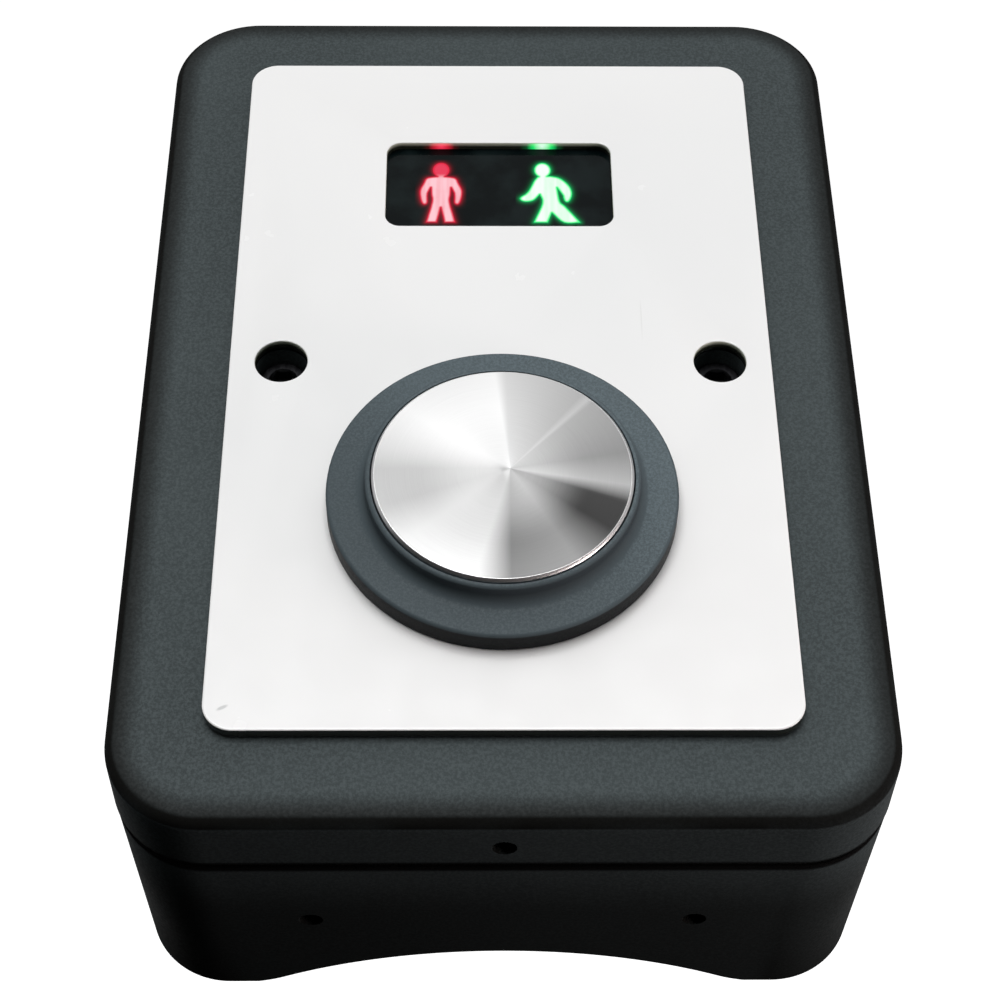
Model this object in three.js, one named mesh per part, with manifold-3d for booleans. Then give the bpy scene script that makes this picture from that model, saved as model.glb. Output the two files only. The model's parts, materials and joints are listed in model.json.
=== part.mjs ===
// Pedestrian traffic light: a pole-mounted push-button unit with a red and a green walking figure.
//
// Units are millimetres. Everything is designed in a face frame: x runs to the right, y up the pole and
// z out of the pole towards the pedestrian, from a datum plane just behind the two rear lands. The last
// lines stand the unit up, so that the finished part has +Z up the pole, its face towards -Y and its
// origin in the plane of the rear lands.

import * as THREE from 'three';
import { mergeVertices } from 'three/addons/utils/BufferGeometryUtils.js';
import Module from 'manifold-3d';

const wasm = await Module();
wasm.setup();

// ---------- driving dimensions ----------

const BODY_W = 150;
const BODY_H = 215;
const BODY_R = 19;
const PLATE_W = 113.4;
const PLATE_H = 178.5;
const PLATE_R = 6;
const PLATE_T = 2;
const REAR = 3; // the rear lands
const DEPTH = 77; // the front of the face plate
const STEP = 2.8; // the face plate stands this far out of the cover
const POLE_R = 85; // fits a 168 mm pole
const SADDLE_TOP = 18.6; // the saddle's deepest line
const SADDLE_EASE_R = 20; // rounds the saddle's edges into the rear lands
const COVER_REAR = 58.4;
const HOUSING_FRONT = 56.5;
const DRAFT = 1.6; // the housing narrows by this much a side towards the pole
const WALL = 4.8;
const GASKET_INSET = 1; // the seam's gasket sits this far in from the outline
const EDGE_R = 2.8; // rounded front edge of the cover
const SEAM_R = 0.5; // broken edges on both sides of the seam between cover and housing
const REAR_EDGE_R = 0.9; // rounded rear edge of the housing

const WINDOW_W = 50.2;
const WINDOW_H = 25.4;
const WINDOW_R = 3.3;
const WINDOW_Y = 51.35;
const FIGURE_X = { red: -12.95, green: 11.2 };

const BUTTON_Y = -36.75;
const FLANGE_R = 35;
const FLANGE_T = 4.9;
const BOSS_R = 27.2;
const LIP_Z = 86.6;
const CAP_R = 25.85;
const CAP_Z = 87.2; // front of the push cap with the button out; it travels in by 2
const STEM_R = 5;

const SCREW_X = 45.9;
const SCREW_HOLE_R = 5.5;
const DRAIN_R = 2.4;

const FIT = 0.3; // clearance between pieces that touch
const FILM = 0.1; // clearance between flat faces that lie on each other

const COVER_FRONT = DEPTH - STEP;
const COVER_INNER = COVER_FRONT - 5;
const PLATE_REAR = DEPTH - PLATE_T;

// ---------- materials ----------

const finish = (color, roughness, metalness) =>
  new THREE.MeshStandardMaterial({ color, roughness, metalness });
const glow = (color) =>
  new THREE.MeshStandardMaterial({ color, roughness: 0.4, emissive: color, emissiveIntensity: 1 });

const powderCoat = finish(0x3d4346, 0.6, 0.2);
const collarCoat = finish(0x50585c, 0.5, 0.2);
const whiteGloss = finish(0xf1f2f1, 0.15, 0);
const blackRubber = finish(0x141414, 0.85, 0);
const blackSteel = finish(0x1b1c1e, 0.4, 0.8);
const spunSteel = finish(0xc9cacb, 0.28, 1);
const plainSteel = finish(0xa9abad, 0.35, 1);
const bronze = finish(0xa87b45, 0.4, 0.9);
const brassMetal = finish(0xc2a04f, 0.35, 0.9);
const smokedAcrylic = finish(0x0c0d0e, 0.08, 0);
const blackPlastic = finish(0x1d1d1f, 0.55, 0);
const whitePlastic = finish(0xe8e6df, 0.5, 0);
const greenPlastic = finish(0x2f7d4f, 0.45, 0);
const circuitBoard = finish(0x1f5a36, 0.45, 0);
const nylon = finish(0xd9d5c8, 0.55, 0);
const redGlow = glow(0xff8c96);
const greenGlow = glow(0xbfffd6);

// ---------- solids ----------

// A closed geometry as a manifold-3d solid; a solid passes through unchanged.
function solid(shape) {
  if (!shape.isBufferGeometry) return shape;
  const plain = shape.clone();
  plain.deleteAttribute('normal');
  plain.deleteAttribute('uv');
  const welded = mergeVertices(plain, 1e-4);
  return new wasm.Manifold(
    new wasm.Mesh({
      numProp: 3,
      vertProperties: new Float32Array(welded.attributes.position.array),
      triVerts: new Uint32Array(welded.index.array),
    }),
  );
}

function geometryOf(shape) {
  if (shape.isBufferGeometry) return shape;
  const { vertProperties, triVerts } = shape.getMesh();
  const geometry = new THREE.BufferGeometry();
  geometry.setAttribute('position', new THREE.BufferAttribute(new Float32Array(vertProperties), 3));
  geometry.setIndex(new THREE.BufferAttribute(new Uint32Array(triVerts), 1));
  geometry.computeVertexNormals();
  return geometry;
}

const join = (first, ...rest) => rest.reduce((all, next) => all.add(solid(next)), solid(first));
const cut = (body, ...tools) => tools.reduce((left, tool) => left.subtract(solid(tool)), solid(body));

function roundRect(w, h, r) {
  const shape = new THREE.Shape();
  shape.moveTo(-w / 2 + r, -h / 2);
  shape.absarc(w / 2 - r, -h / 2 + r, r, -Math.PI / 2, 0);
  shape.absarc(w / 2 - r, h / 2 - r, r, 0, Math.PI / 2);
  shape.absarc(-w / 2 + r, h / 2 - r, r, Math.PI / 2, Math.PI);
  shape.absarc(-w / 2 + r, -h / 2 + r, r, Math.PI, Math.PI * 1.5);
  return shape;
}

const slab = (shape, z0, z1, curveSegments = 5) =>
  new THREE.ExtrudeGeometry(shape, { depth: z1 - z0, bevelEnabled: false, curveSegments })
    .translate(0, 0, z0);

const block = (w, h, z0, z1, x = 0, y = 0) =>
  new THREE.BoxGeometry(w, h, z1 - z0).translate(x, y, (z0 + z1) / 2);

const rod = (r, z0, z1, x = 0, y = 0, sides = 20) =>
  new THREE.CylinderGeometry(r, r, z1 - z0, sides).rotateX(Math.PI / 2).translate(x, y, (z0 + z1) / 2);

// A rod whose axis runs up the pole.
const uprightRod = (r, y0, y1, x, z, sides = 16) =>
  new THREE.CylinderGeometry(r, r, y1 - y0, sides).translate(x, (y0 + y1) / 2, z);

// A turned piece about the z axis, from [radius, z] points that run anticlockwise.
const turned = (profile, x = 0, y = 0, sides = 20) =>
  new THREE.LatheGeometry(profile.map(([r, z]) => new THREE.Vector2(r, z)), sides)
    .rotateX(Math.PI / 2)
    .translate(x, y, 0);

const washer = (inner, outer, z0, z1, x = 0, y = 0, sides = 16) =>
  turned([[outer, z0], [outer, z1], [inner, z1], [inner, z0], [outer, z0]], x, y, sides);

// A rounded rectangle's outline at height z, with the same number of points whatever its size.
function outline(w, h, r, z, perCorner = 6) {
  const points = [];
  for (const [sx, sy, start] of [[1, -1, -0.5], [1, 1, 0], [-1, 1, 0.5], [-1, -1, 1]]) {
    for (let i = 0; i <= perCorner; i++) {
      const a = Math.PI * (start + (0.5 * i) / perCorner);
      const x = sx * (w / 2 - r) + r * Math.cos(a);
      const y = sy * (h / 2 - r) + r * Math.sin(a);
      points.push(new THREE.Vector3(x, y, z));
    }
  }
  return points;
}

// A closed solid through convex outlines, from the lowest to the highest.
function loft(outlines) {
  const n = outlines[0].length;
  const position = outlines.flat().flatMap((p) => [p.x, p.y, p.z]);
  const index = [];
  for (let k = 0; k + 1 < outlines.length; k++) {
    for (let i = 0; i < n; i++) {
      const j = (i + 1) % n;
      const [a, b, c, d] = [k * n + i, k * n + j, (k + 1) * n + j, (k + 1) * n + i];
      index.push(a, b, c, a, c, d);
    }
  }
  const top = (outlines.length - 1) * n;
  for (let i = 1; i + 1 < n; i++) {
    index.push(0, i + 1, i, top, top + i, top + i + 1);
  }
  const geometry = new THREE.BufferGeometry();
  geometry.setAttribute('position', new THREE.Float32BufferAttribute(position, 3));
  geometry.setIndex(index);
  return geometry;
}

// The body's outline moved in by inset all round.
const bodyOutline = (inset, z) =>
  outline(BODY_W - 2 * inset, BODY_H - 2 * inset, BODY_R - inset, z);

// ---------- the parts list ----------

const faceFrame = new THREE.Group();

function part(name, shape, material) {
  const mesh = new THREE.Mesh(geometryOf(shape), material);
  mesh.name = name;
  faceFrame.add(mesh);
}

// ---------- enclosure ----------

const SCREW_HEAD_Z = 70.8; // front of the cover screws' heads
const SCREW_SEAT_Z = 64.4; // bottom of their counterbores
const DISPLAY_POSTS = [[-30, -18], [30, -18], [-30, 18], [30, 18]];
const BOARD_Y = 50;
const BOARD_POSTS = [[-42, -28], [42, -28], [-42, 28], [42, 28]];
const LENS_W = 54.4;
const LENS_H = 29.8;
const LENS_R = 5;
const BARREL_R = 22;
const BUTTON_SIDES = 40; // facets round the collar, the cap and their holes
const EARTH = [-52, -62];
const CABLE_Y = 4;
const CABLE_HOLE_R = 9;
const GROMMET_R = 11;
const GROMMET_Z = SADDLE_TOP + 0.2; // the grommet's rear face
const GROMMET_FLANGE_T = 1.8;
const SADDLE_WALL = 4.2;
const POLE_BOLT_Y = 94;

function coverShell() {
  const rings = [bodyOutline(SEAM_R, COVER_REAR), bodyOutline(0, COVER_REAR + SEAM_R)];
  const steps = 3;
  for (let i = 0; i <= steps; i++) {
    const a = (Math.PI / 2) * (i / steps);
    rings.push(bodyOutline(EDGE_R * (1 - Math.cos(a)), COVER_FRONT - EDGE_R * (1 - Math.sin(a))));
  }
  return loft(rings);
}

function frontCover() {
  const cavity = loft([bodyOutline(WALL, COVER_REAR - 1), bodyOutline(WALL, COVER_INNER)]);
  let cover = cut(coverShell(), cavity);
  for (const side of [-1, 1]) {
    const x = side * SCREW_X;
    cover = cover.add(solid(rod(9, COVER_REAR, COVER_INNER + 1, x)));
    cover = cut(cover, rod(5.6, SCREW_SEAT_Z, DEPTH, x), rod(3.4, COVER_REAR - 1, SCREW_SEAT_Z + 1, x));
  }
  for (const [x, y] of DISPLAY_POSTS) {
    cover = cover.add(solid(rod(3.5, 52, COVER_INNER + 1, x, WINDOW_Y + y, 16)));
    cover = cut(cover, rod(1.6, 51, 61, x, WINDOW_Y + y, 12));
  }
  const pocket = slab(roundRect(LENS_W + 0.6, LENS_H + 0.6, LENS_R + 0.3), 71.2, DEPTH);
  const aperture = slab(roundRect(47, 23, 3), COVER_INNER - 1, 72);
  cover = cut(cover, pocket.translate(0, WINDOW_Y, 0), aperture.translate(0, WINDOW_Y, 0));
  cover = cut(cover, rod(BARREL_R + 0.5, COVER_INNER - 1, DEPTH, 0, BUTTON_Y, BUTTON_SIDES));
  return cut(cover, uprightRod(DRAIN_R, -BODY_H / 2 - 1, -BODY_H / 2 + 8, 0, DEPTH - 12));
}

const POLE_Z = SADDLE_TOP - POLE_R; // the pole's axis

// The space behind the housing that the pole fills, with rounded edges at the rear lands.
function poleSpace() {
  const easeZ = REAR + SADDLE_EASE_R;
  const easeX = Math.sqrt((POLE_R + SADDLE_EASE_R) ** 2 - (easeZ - POLE_Z) ** 2);
  const lean = Math.atan2(easeX, easeZ - POLE_Z);
  const quarter = Math.PI / 2;
  const section = new THREE.Shape();
  section.moveTo(easeX, REAR - 5);
  section.lineTo(-easeX, REAR - 5);
  section.lineTo(-easeX, REAR);
  section.absarc(-easeX, easeZ, SADDLE_EASE_R, -quarter, lean - quarter);
  section.absarc(0, POLE_Z, POLE_R, quarter + lean, quarter - lean, true);
  section.absarc(easeX, easeZ, SADDLE_EASE_R, -lean - quarter, -quarter);
  return slab(section, -BODY_H, BODY_H, 8).rotateX(quarter);
}

function rearHousing() {
  const shell = loft([
    bodyOutline(DRAFT + REAR_EDGE_R, REAR),
    bodyOutline(DRAFT + 0.3 * REAR_EDGE_R, REAR + 0.3 * REAR_EDGE_R),
    bodyOutline(DRAFT, REAR + REAR_EDGE_R),
    bodyOutline(0.2, HOUSING_FRONT - SEAM_R),
    bodyOutline(0.2 + SEAM_R, HOUSING_FRONT),
  ]);
  const floor = REAR + WALL;
  const saddle = (r) => uprightRod(r, -BODY_H, BODY_H, 0, POLE_Z, 80);
  const cavity = cut(
    loft([bodyOutline(WALL + DRAFT, floor), bodyOutline(WALL + 0.4, HOUSING_FRONT + 1)]),
    saddle(POLE_R + SADDLE_WALL),
  );
  let housing = cut(shell, poleSpace(), cavity);
  const boss = (r, top, x, y, sides) => {
    housing = housing.add(cut(rod(r, floor - 1, top, x, y, sides), saddle(POLE_R + 2)));
  };
  for (const side of [-1, 1]) {
    boss(8, HOUSING_FRONT, side * SCREW_X, 0, 20);
    housing = cut(housing, rod(4.3, 42, DEPTH, side * SCREW_X));
    housing = cut(housing, uprightRod(DRAIN_R, -BODY_H / 2 - 1, -BODY_H / 2 + 9, side * 37.7, 33.7));
    housing = cut(housing, rod(4.5, 0, 40, 0, side * POLE_BOLT_Y));
  }
  for (const [x, y] of BOARD_POSTS) {
    boss(4, 29.7, x, BOARD_Y + y, 16);
    housing = cut(housing, rod(1.6, 21, 40, x, BOARD_Y + y, 12));
  }
  boss(5, 24, ...EARTH, 16);
  housing = cut(housing, rod(2.5, 12, 40, ...EARTH, 12));
  const counterbore = rod(GROMMET_R + 0.6, 0, GROMMET_Z + GROMMET_FLANGE_T + FIT, 0, CABLE_Y, 24);
  return cut(housing, rod(CABLE_HOLE_R, 0, 40, 0, CABLE_Y), counterbore);
}

// A sheet in the shape of the face plate, moved in all round, with its window and its holes.
function faceSheet(inset, z0, z1, window, barrelHole, screwHole) {
  const sheet = slab(roundRect(PLATE_W - 2 * inset, PLATE_H - 2 * inset, PLATE_R - inset), z0, z1);
  const opening = slab(roundRect(...window), z0 - 1, z1 + 1).translate(0, WINDOW_Y, 0);
  const barrel = rod(barrelHole, z0 - 1, z1 + 1, 0, BUTTON_Y, BUTTON_SIDES);
  const screws = [-1, 1].map((side) => rod(screwHole, z0 - 1, z1 + 1, side * SCREW_X, 0));
  return cut(sheet, opening, barrel, ...screws);
}

part('front_cover', frontCover(), powderCoat);
part('rear_housing', rearHousing(), powderCoat);
part(
  'cover_gasket',
  cut(
    loft([bodyOutline(GASKET_INSET, HOUSING_FRONT + FIT), bodyOutline(GASKET_INSET, COVER_REAR - FIT)]),
    loft([bodyOutline(WALL + 0.2, HOUSING_FRONT), bodyOutline(WALL + 0.2, COVER_REAR)]),
  ),
  blackRubber,
);
part(
  'face_plate',
  faceSheet(0, PLATE_REAR, DEPTH, [WINDOW_W, WINDOW_H, WINDOW_R], BARREL_R + 0.5, SCREW_HOLE_R),
  whiteGloss,
);
part(
  'plate_gasket',
  faceSheet(
    0.8,
    COVER_FRONT + FILM,
    PLATE_REAR - FILM,
    [LENS_W + 1.6, LENS_H + 1.6, LENS_R + 0.8],
    BARREL_R + 1,
    SCREW_HOLE_R + 0.7,
  ),
  blackRubber,
);

// Socket-head screws, each with a sealing washer, run through the cover into a threaded insert.
function socketScrew(headR, headTop, seat, shankR, tip, socket) {
  const profile = [
    [0, tip], [shankR - 0.6, tip], [shankR, tip + 0.8], [shankR, seat], [headR, seat],
    [headR, headTop - 0.6], [headR - 0.6, headTop], [0, headTop],
  ];
  return cut(turned(profile, 0, 0, 16), rod(socket, headTop - 3, headTop + 1, 0, 0, 6));
}

for (const [side, x] of [['left', -SCREW_X], ['right', SCREW_X]]) {
  const seat = SCREW_SEAT_Z + 1.1;
  const screw = socketScrew(5, SCREW_HEAD_Z, seat, 2.7, 46, 2.9);
  part(`cover_screw_${side}`, screw.translate([x, 0, 0]), blackSteel);
  part(`cover_screw_washer_${side}`, washer(3, 5.2, SCREW_SEAT_Z + FILM, seat - FILM, x), nylon);
  part(`cover_insert_${side}`, washer(3, 4, 43, HOUSING_FRONT - 0.4, x), brassMetal);
}

part(
  'earth_screw',
  socketScrew(4.2, 27.6, 24.3, 2.1, 14, 2).translate([...EARTH, 0]),
  brassMetal,
);

// The grommet lines the supply cable's way through the saddle and snaps in behind its wall.
const GROMMET_SNAP_Z = SADDLE_TOP + SADDLE_WALL + 0.4;
part(
  'cable_grommet',
  turned(
    [
      [5, GROMMET_Z], [GROMMET_R, GROMMET_Z], [GROMMET_R, GROMMET_Z + GROMMET_FLANGE_T],
      [8.7, GROMMET_Z + GROMMET_FLANGE_T], [8.7, GROMMET_SNAP_Z], [11.5, GROMMET_SNAP_Z + 0.2],
      [10.5, GROMMET_SNAP_Z + 2.4], [5, GROMMET_SNAP_Z + 2.4], [5, GROMMET_Z],
    ],
    0,
    CABLE_Y,
    18,
  ),
  blackRubber,
);

// ---------- display ----------

// The right half of the standing figure, from the neck to the crotch, is mirrored for the left.
function standingFigure() {
  const half = new THREE.Shape();
  half.moveTo(1.07, 4.2);
  const arm = [
    [3.2, 3.7], [3.95, 2.0], [4.7, 0], [4.65, -2.0], [4.3, -3.7], [3.7, -4.4], [3.0, -3.9], [3.0, -2.0],
    [2.9, -0.85],
  ];
  half.splineThru(arm.map(([x, y]) => new THREE.Vector2(x, y)));
  half.lineTo(2.25, 0.85);
  half.lineTo(2.15, -1.35);
  half.lineTo(2.0, -3.7);
  half.lineTo(3.25, -9.8);
  half.lineTo(0.85, -9.8);
  half.lineTo(0, -5.25);
  const right = half.getPoints(2);
  const left = right.slice(0, -1).reverse().map((p) => new THREE.Vector2(-p.x, p.y));
  return [...right, ...left];
}

// The walking figure strides to the left and swings the left arm forward.
function walkingFigure() {
  const figure = new THREE.Shape();
  const through = (points) => figure.splineThru(points.map(([x, y]) => new THREE.Vector2(x, y)));
  figure.moveTo(-0.3, 4.3);
  through([[0.6, 4.3], [2.6, 3.6], [4.5, 1.3], [5.05, -1.2], [4.35, -3.4], [3.45, -3.3], [3.0, -1.4]]);
  figure.lineTo(1.75, 0.9);
  figure.lineTo(2.3, -3.4);
  figure.lineTo(3.5, -5.0);
  figure.lineTo(6.7, -9.8);
  figure.lineTo(3.1, -9.8);
  figure.lineTo(0.45, -6.8);
  figure.lineTo(-0.5, -9.8);
  figure.lineTo(-3.6, -9.8);
  figure.lineTo(-1.6, -4.0);
  figure.lineTo(-2.1, -1.2);
  through([[-3.6, -3.1], [-5.6, -3.45], [-6.6, -2.4], [-4.8, -0.6], [-3.3, 2.9]]);
  figure.lineTo(-2.5, 4.2);
  return figure.getPoints(2);
}

// An outline whose sides have all moved out by the same distance.
function grown(points, by) {
  const n = points.length;
  const turn = THREE.ShapeUtils.area(points) > 0 ? 1 : -1;
  const normal = (p, q) => {
    const along = q.clone().sub(p).normalize();
    return new THREE.Vector2(turn * along.y, -turn * along.x);
  };
  return points.map((p, i) => {
    const before = normal(points[(i + n - 1) % n], p);
    const after = normal(p, points[(i + 1) % n]);
    const reach = by / Math.max(1 + before.dot(after), 0.2);
    return before.add(after).multiplyScalar(reach).add(p);
  });
}

// A figure's solid, with its oval head, moved out by grow all round.
function figureSolid(points, headX, z0, z1, grow = 0) {
  const body = slab(new THREE.Shape(grown(points, grow)), z0, z1);
  const head = new THREE.Shape();
  head.absellipse(headX, 6.2, 1.84 + grow, 2.25 + grow, 0, Math.PI * 2);
  return join(body, slab(head, z0, z1, 12));
}

const FIGURES = {
  red: { points: standingFigure(), head: 0, material: redGlow },
  green: { points: walkingFigure(), head: -1.4, material: greenGlow },
};
const LENS_FRONT = PLATE_REAR - FILM;
const LENS_REAR = 72.1;

let lens = slab(roundRect(LENS_W, LENS_H, LENS_R), LENS_REAR, LENS_FRONT).translate(0, WINDOW_Y, 0);
for (const [colour, { points, head, material }] of Object.entries(FIGURES)) {
  const at = [FIGURE_X[colour], WINDOW_Y, 0];
  lens = cut(lens, figureSolid(points, head, LENS_REAR - 1, LENS_FRONT + 1, 0.12).translate(at));
  part(`${colour}_figure`, figureSolid(points, head, LENS_REAR, LENS_FRONT).translate(at), material);
}
part('window_lens', lens, smokedAcrylic);

const ring = (outer, inner, z0, z1) =>
  cut(slab(roundRect(...outer), z0, z1), slab(roundRect(...inner), z0 - 1, z1 + 1))
    .translate([0, WINDOW_Y, 0]);
part('lens_gasket', ring([LENS_W, LENS_H, LENS_R], [48, 24, 3], 71.3, 71.9), blackRubber);

const BOX_REAR = 52.2;
const cell = (side) => block(23, 27, BOX_REAR - 1, COVER_INNER, side * 12.9, WINDOW_Y);
part(
  'light_box',
  cut(block(52, 30, BOX_REAR, COVER_INNER - 0.4, 0, WINDOW_Y), cell(-1), cell(1)),
  whitePlastic,
);

const DISPLAY_BOARD_Z = 50;
const drilled = (w, h, z, y, posts) =>
  cut(block(w, h, z, z + 1.6, 0, y), ...posts.map(([px, py]) => rod(1.7, z - 1, z + 3, px, y + py, 12)));
part('display_board', drilled(67, 43, DISPLAY_BOARD_Z, WINDOW_Y, DISPLAY_POSTS), circuitBoard);
for (const [colour, x] of Object.entries(FIGURE_X)) {
  const foot = DISPLAY_BOARD_Z + 1.7;
  const dome = [
    [0, foot], [4.5, foot], [4.5, foot + 1.4], [3.6, foot + 1.5], [2.6, foot + 3.2], [0, foot + 4],
  ];
  part(`${colour}_led`, turned(dome, x, WINDOW_Y, 14), FIGURES[colour].material);
}
part('display_connector', block(12, 6, 43.5, DISPLAY_BOARD_Z - FILM, 18, WINDOW_Y), whitePlastic);

// A pan-head machine screw whose head is behind the piece it holds.
function panScrew(headRear, seat, tip, x, y, headR = 2.8, shankR = 1.3) {
  const profile = [
    [0, headRear], [headR - 0.8, headRear], [headR, headRear + 0.8], [headR, seat], [shankR, seat],
    [shankR, tip - 0.5], [shankR - 0.5, tip], [0, tip],
  ];
  const slot = block(headR * 2.4, 0.7, headRear - 1, headRear + 0.9, x, y);
  return cut(turned(profile, x, y, 10), slot);
}
DISPLAY_POSTS.forEach(([x, y], i) => {
  part(`display_screw_${i + 1}`, panScrew(47.8, DISPLAY_BOARD_Z - FILM, 60, x, WINDOW_Y + y), plainSteel);
});

// ---------- push button ----------

const BARREL_REAR = 50;
const CUP_FLOOR = 79.6;
const SHOULDER_Z = 60;
const BUSH_BORE = 8.3;
const O_RING_MEAN = 30.5;

function buttonCollar() {
  const front = DEPTH + FILM + FLANGE_T;
  const fillet = [];
  const filletR = 2.6;
  const steps = 4;
  for (let i = 0; i <= steps; i++) {
    const a = (Math.PI / 2) * (i / steps);
    fillet.push([BOSS_R + filletR * (1 - Math.sin(a)), front + filletR * (1 - Math.cos(a))]);
  }
  return turned(
    [
      [BUSH_BORE, BARREL_REAR], [BARREL_R, BARREL_REAR], [BARREL_R, DEPTH + FILM],
      [O_RING_MEAN - 1.3, DEPTH + FILM], [O_RING_MEAN - 1.3, DEPTH + 2.3],
      [O_RING_MEAN + 1.3, DEPTH + 2.3], [O_RING_MEAN + 1.3, DEPTH + FILM],
      [FLANGE_R - 0.3, DEPTH + FILM], [FLANGE_R, DEPTH + 0.4],
      [FLANGE_R, front - 0.8], [FLANGE_R - 0.8, front],
      ...fillet,
      [BOSS_R, LIP_Z - 0.8], [BOSS_R - 0.2, LIP_Z - 0.3], [BOSS_R - 0.6, LIP_Z], [CAP_R + FIT, LIP_Z],
      [CAP_R + FIT, CUP_FLOOR],
      [14, CUP_FLOOR], [14, SHOULDER_Z], [BUSH_BORE, SHOULDER_Z], [BUSH_BORE, BARREL_REAR],
    ],
    0,
    BUTTON_Y,
    BUTTON_SIDES,
  );
}

const BRACKET_SCREW_X = 16;
part(
  'button_collar',
  cut(
    buttonCollar(),
    ...[-1, 1].map((side) => rod(1.6, BARREL_REAR - 1, 57, side * BRACKET_SCREW_X, BUTTON_Y, 12)),
  ),
  collarCoat,
);

function torus(mean, tube, z, sides) {
  return new THREE.TorusGeometry(mean, tube, 6, sides).translate(0, BUTTON_Y, z);
}
part('collar_o_ring', torus(O_RING_MEAN, 0.95, DEPTH + 1.1, 36), blackRubber);
part('stem_seal', torus(6.6, 1.1, SHOULDER_Z + 1.3, 20), blackRubber);
part(
  'collar_nut',
  cut(
    washer(BARREL_R + FIT, 28.5, 63.2, COVER_INNER - 0.2, 0, BUTTON_Y, BUTTON_SIDES),
    ...[0, 1, 2, 3].map((k) =>
      new THREE.BoxGeometry(5, 6, 8)
        .translate(0, 28.5, 66)
        .rotateZ((k * Math.PI) / 2 + Math.PI / 4)
        .translate(0, BUTTON_Y, 0),
    ),
  ),
  plainSteel,
);

// The cap is a shallow cup with a bevelled rim and a socket for the stem.
const CAP_TOP_T = 3;
const STEM_SOCKET_R = 7.2;
part(
  'push_cap',
  turned(
    [
      [CAP_R - 1.6, 82.4], [CAP_R, 82.4], [CAP_R, CAP_Z - 0.9], [CAP_R - 0.9, CAP_Z], [0, CAP_Z], [0, 84],
      [STEM_R + FIT, 84], [STEM_R + FIT, 79], [STEM_SOCKET_R, 79], [STEM_SOCKET_R, CAP_Z - CAP_TOP_T],
      [CAP_R - 1.6, CAP_Z - CAP_TOP_T], [CAP_R - 1.6, 82.4],
    ],
    0,
    BUTTON_Y,
    BUTTON_SIDES,
  ),
  spunSteel,
);

// The stem's rear shoulder stops it against the bush when the button is out.
const STEM_TIP = 42;
part(
  'plunger_stem',
  turned(
    [
      [0, STEM_TIP], [STEM_R - 0.8, STEM_TIP], [STEM_R, STEM_TIP + 0.8], [STEM_R, 46], [6.5, 46],
      [6.5, BARREL_REAR - FIT], [STEM_R, BARREL_REAR - FIT], [STEM_R, 83.2], [STEM_R - 0.5, 83.7], [0, 83.7],
    ],
    0,
    BUTTON_Y,
  ),
  plainSteel,
);
const bush = washer(STEM_R + FILM, BUSH_BORE - FIT, BARREL_REAR, SHOULDER_Z - FIT, 0, BUTTON_Y, 20);
part('stem_bush', bush, bronze);

// The return spring stands on the barrel's shoulder and pushes the cap out.
const SPRING_R = 10.5;
const SPRING_WIRE = 0.8;
const SPRING_TURNS = 5.5;
class Helix extends THREE.Curve {
  getPoint(t, target = new THREE.Vector3()) {
    const a = t * SPRING_TURNS * Math.PI * 2;
    const low = SHOULDER_Z + FIT + SPRING_WIRE;
    const high = CAP_Z - CAP_TOP_T - FIT - SPRING_WIRE;
    return target.set(SPRING_R * Math.cos(a), BUTTON_Y + SPRING_R * Math.sin(a), low + (high - low) * t);
  }
}
const wire = new THREE.Shape();
wire.absarc(0, 0, SPRING_WIRE, 0, Math.PI * 2);
part(
  'return_spring',
  new THREE.ExtrudeGeometry(wire, {
    steps: 12 * SPRING_TURNS,
    extrudePath: new Helix(),
    curveSegments: 3,
    bevelEnabled: false,
  }),
  plainSteel,
);

// The bracket hangs the microswitch behind the stem.
const LEG_Y = 8;
const LEG_T = 1.5;
const SWITCH_SCREWS = [[-11, 28], [7, 28]];
function switchBracket() {
  const base = cut(
    block(42, LEG_Y + LEG_T + 12, 48.1, 49.8, 0, (LEG_Y + LEG_T - 12) / 2 + BUTTON_Y),
    rod(7.3, 47, 51, 0, BUTTON_Y),
    ...[-1, 1].map((side) => rod(1.7, 47, 51, side * BRACKET_SCREW_X, BUTTON_Y, 12)),
  );
  const leg = block(30, LEG_T, 23.5, 49.8, -2, BUTTON_Y + LEG_Y + LEG_T / 2);
  const holes = SWITCH_SCREWS.map(([x, z]) => uprightRod(1.7, BUTTON_Y + 5, BUTTON_Y + 12, x, z, 12));
  return cut(join(base, leg), ...holes);
}
part('switch_bracket', switchBracket(), plainSteel);
for (const [side, x] of [['left', -BRACKET_SCREW_X], ['right', BRACKET_SCREW_X]]) {
  part(`bracket_screw_${side}`, panScrew(45.9, 48, 56, x, BUTTON_Y), plainSteel);
}

const SWITCH_FRONT = 38;
const SWITCH_REAR = 24.5;
const SWITCH_Y = BUTTON_Y + 2.8;
const LEVER_PIVOT = [-12, 38.9];
const PLUNGER_X = -7;
function microswitch() {
  const body = block(28, 9.8, SWITCH_REAR, SWITCH_FRONT, -2, SWITCH_Y);
  const holes = SWITCH_SCREWS.map(([x, z]) => uprightRod(1.7, SWITCH_Y - 6, SWITCH_Y + 6, x, z, 12));
  const plungerHole = rod(1.8, 34, 40, PLUNGER_X, SWITCH_Y, 16);
  const pivotNotch = block(4.4, 5.4, 36.4, 40, LEVER_PIVOT[0] - 0.4, SWITCH_Y);
  return cut(body, ...holes, plungerHole, pivotNotch);
}
part('microswitch_body', microswitch(), blackPlastic);
part('switch_plunger', rod(1.5, 35.3, 38.95, PLUNGER_X, SWITCH_Y, 16), whitePlastic);

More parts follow.
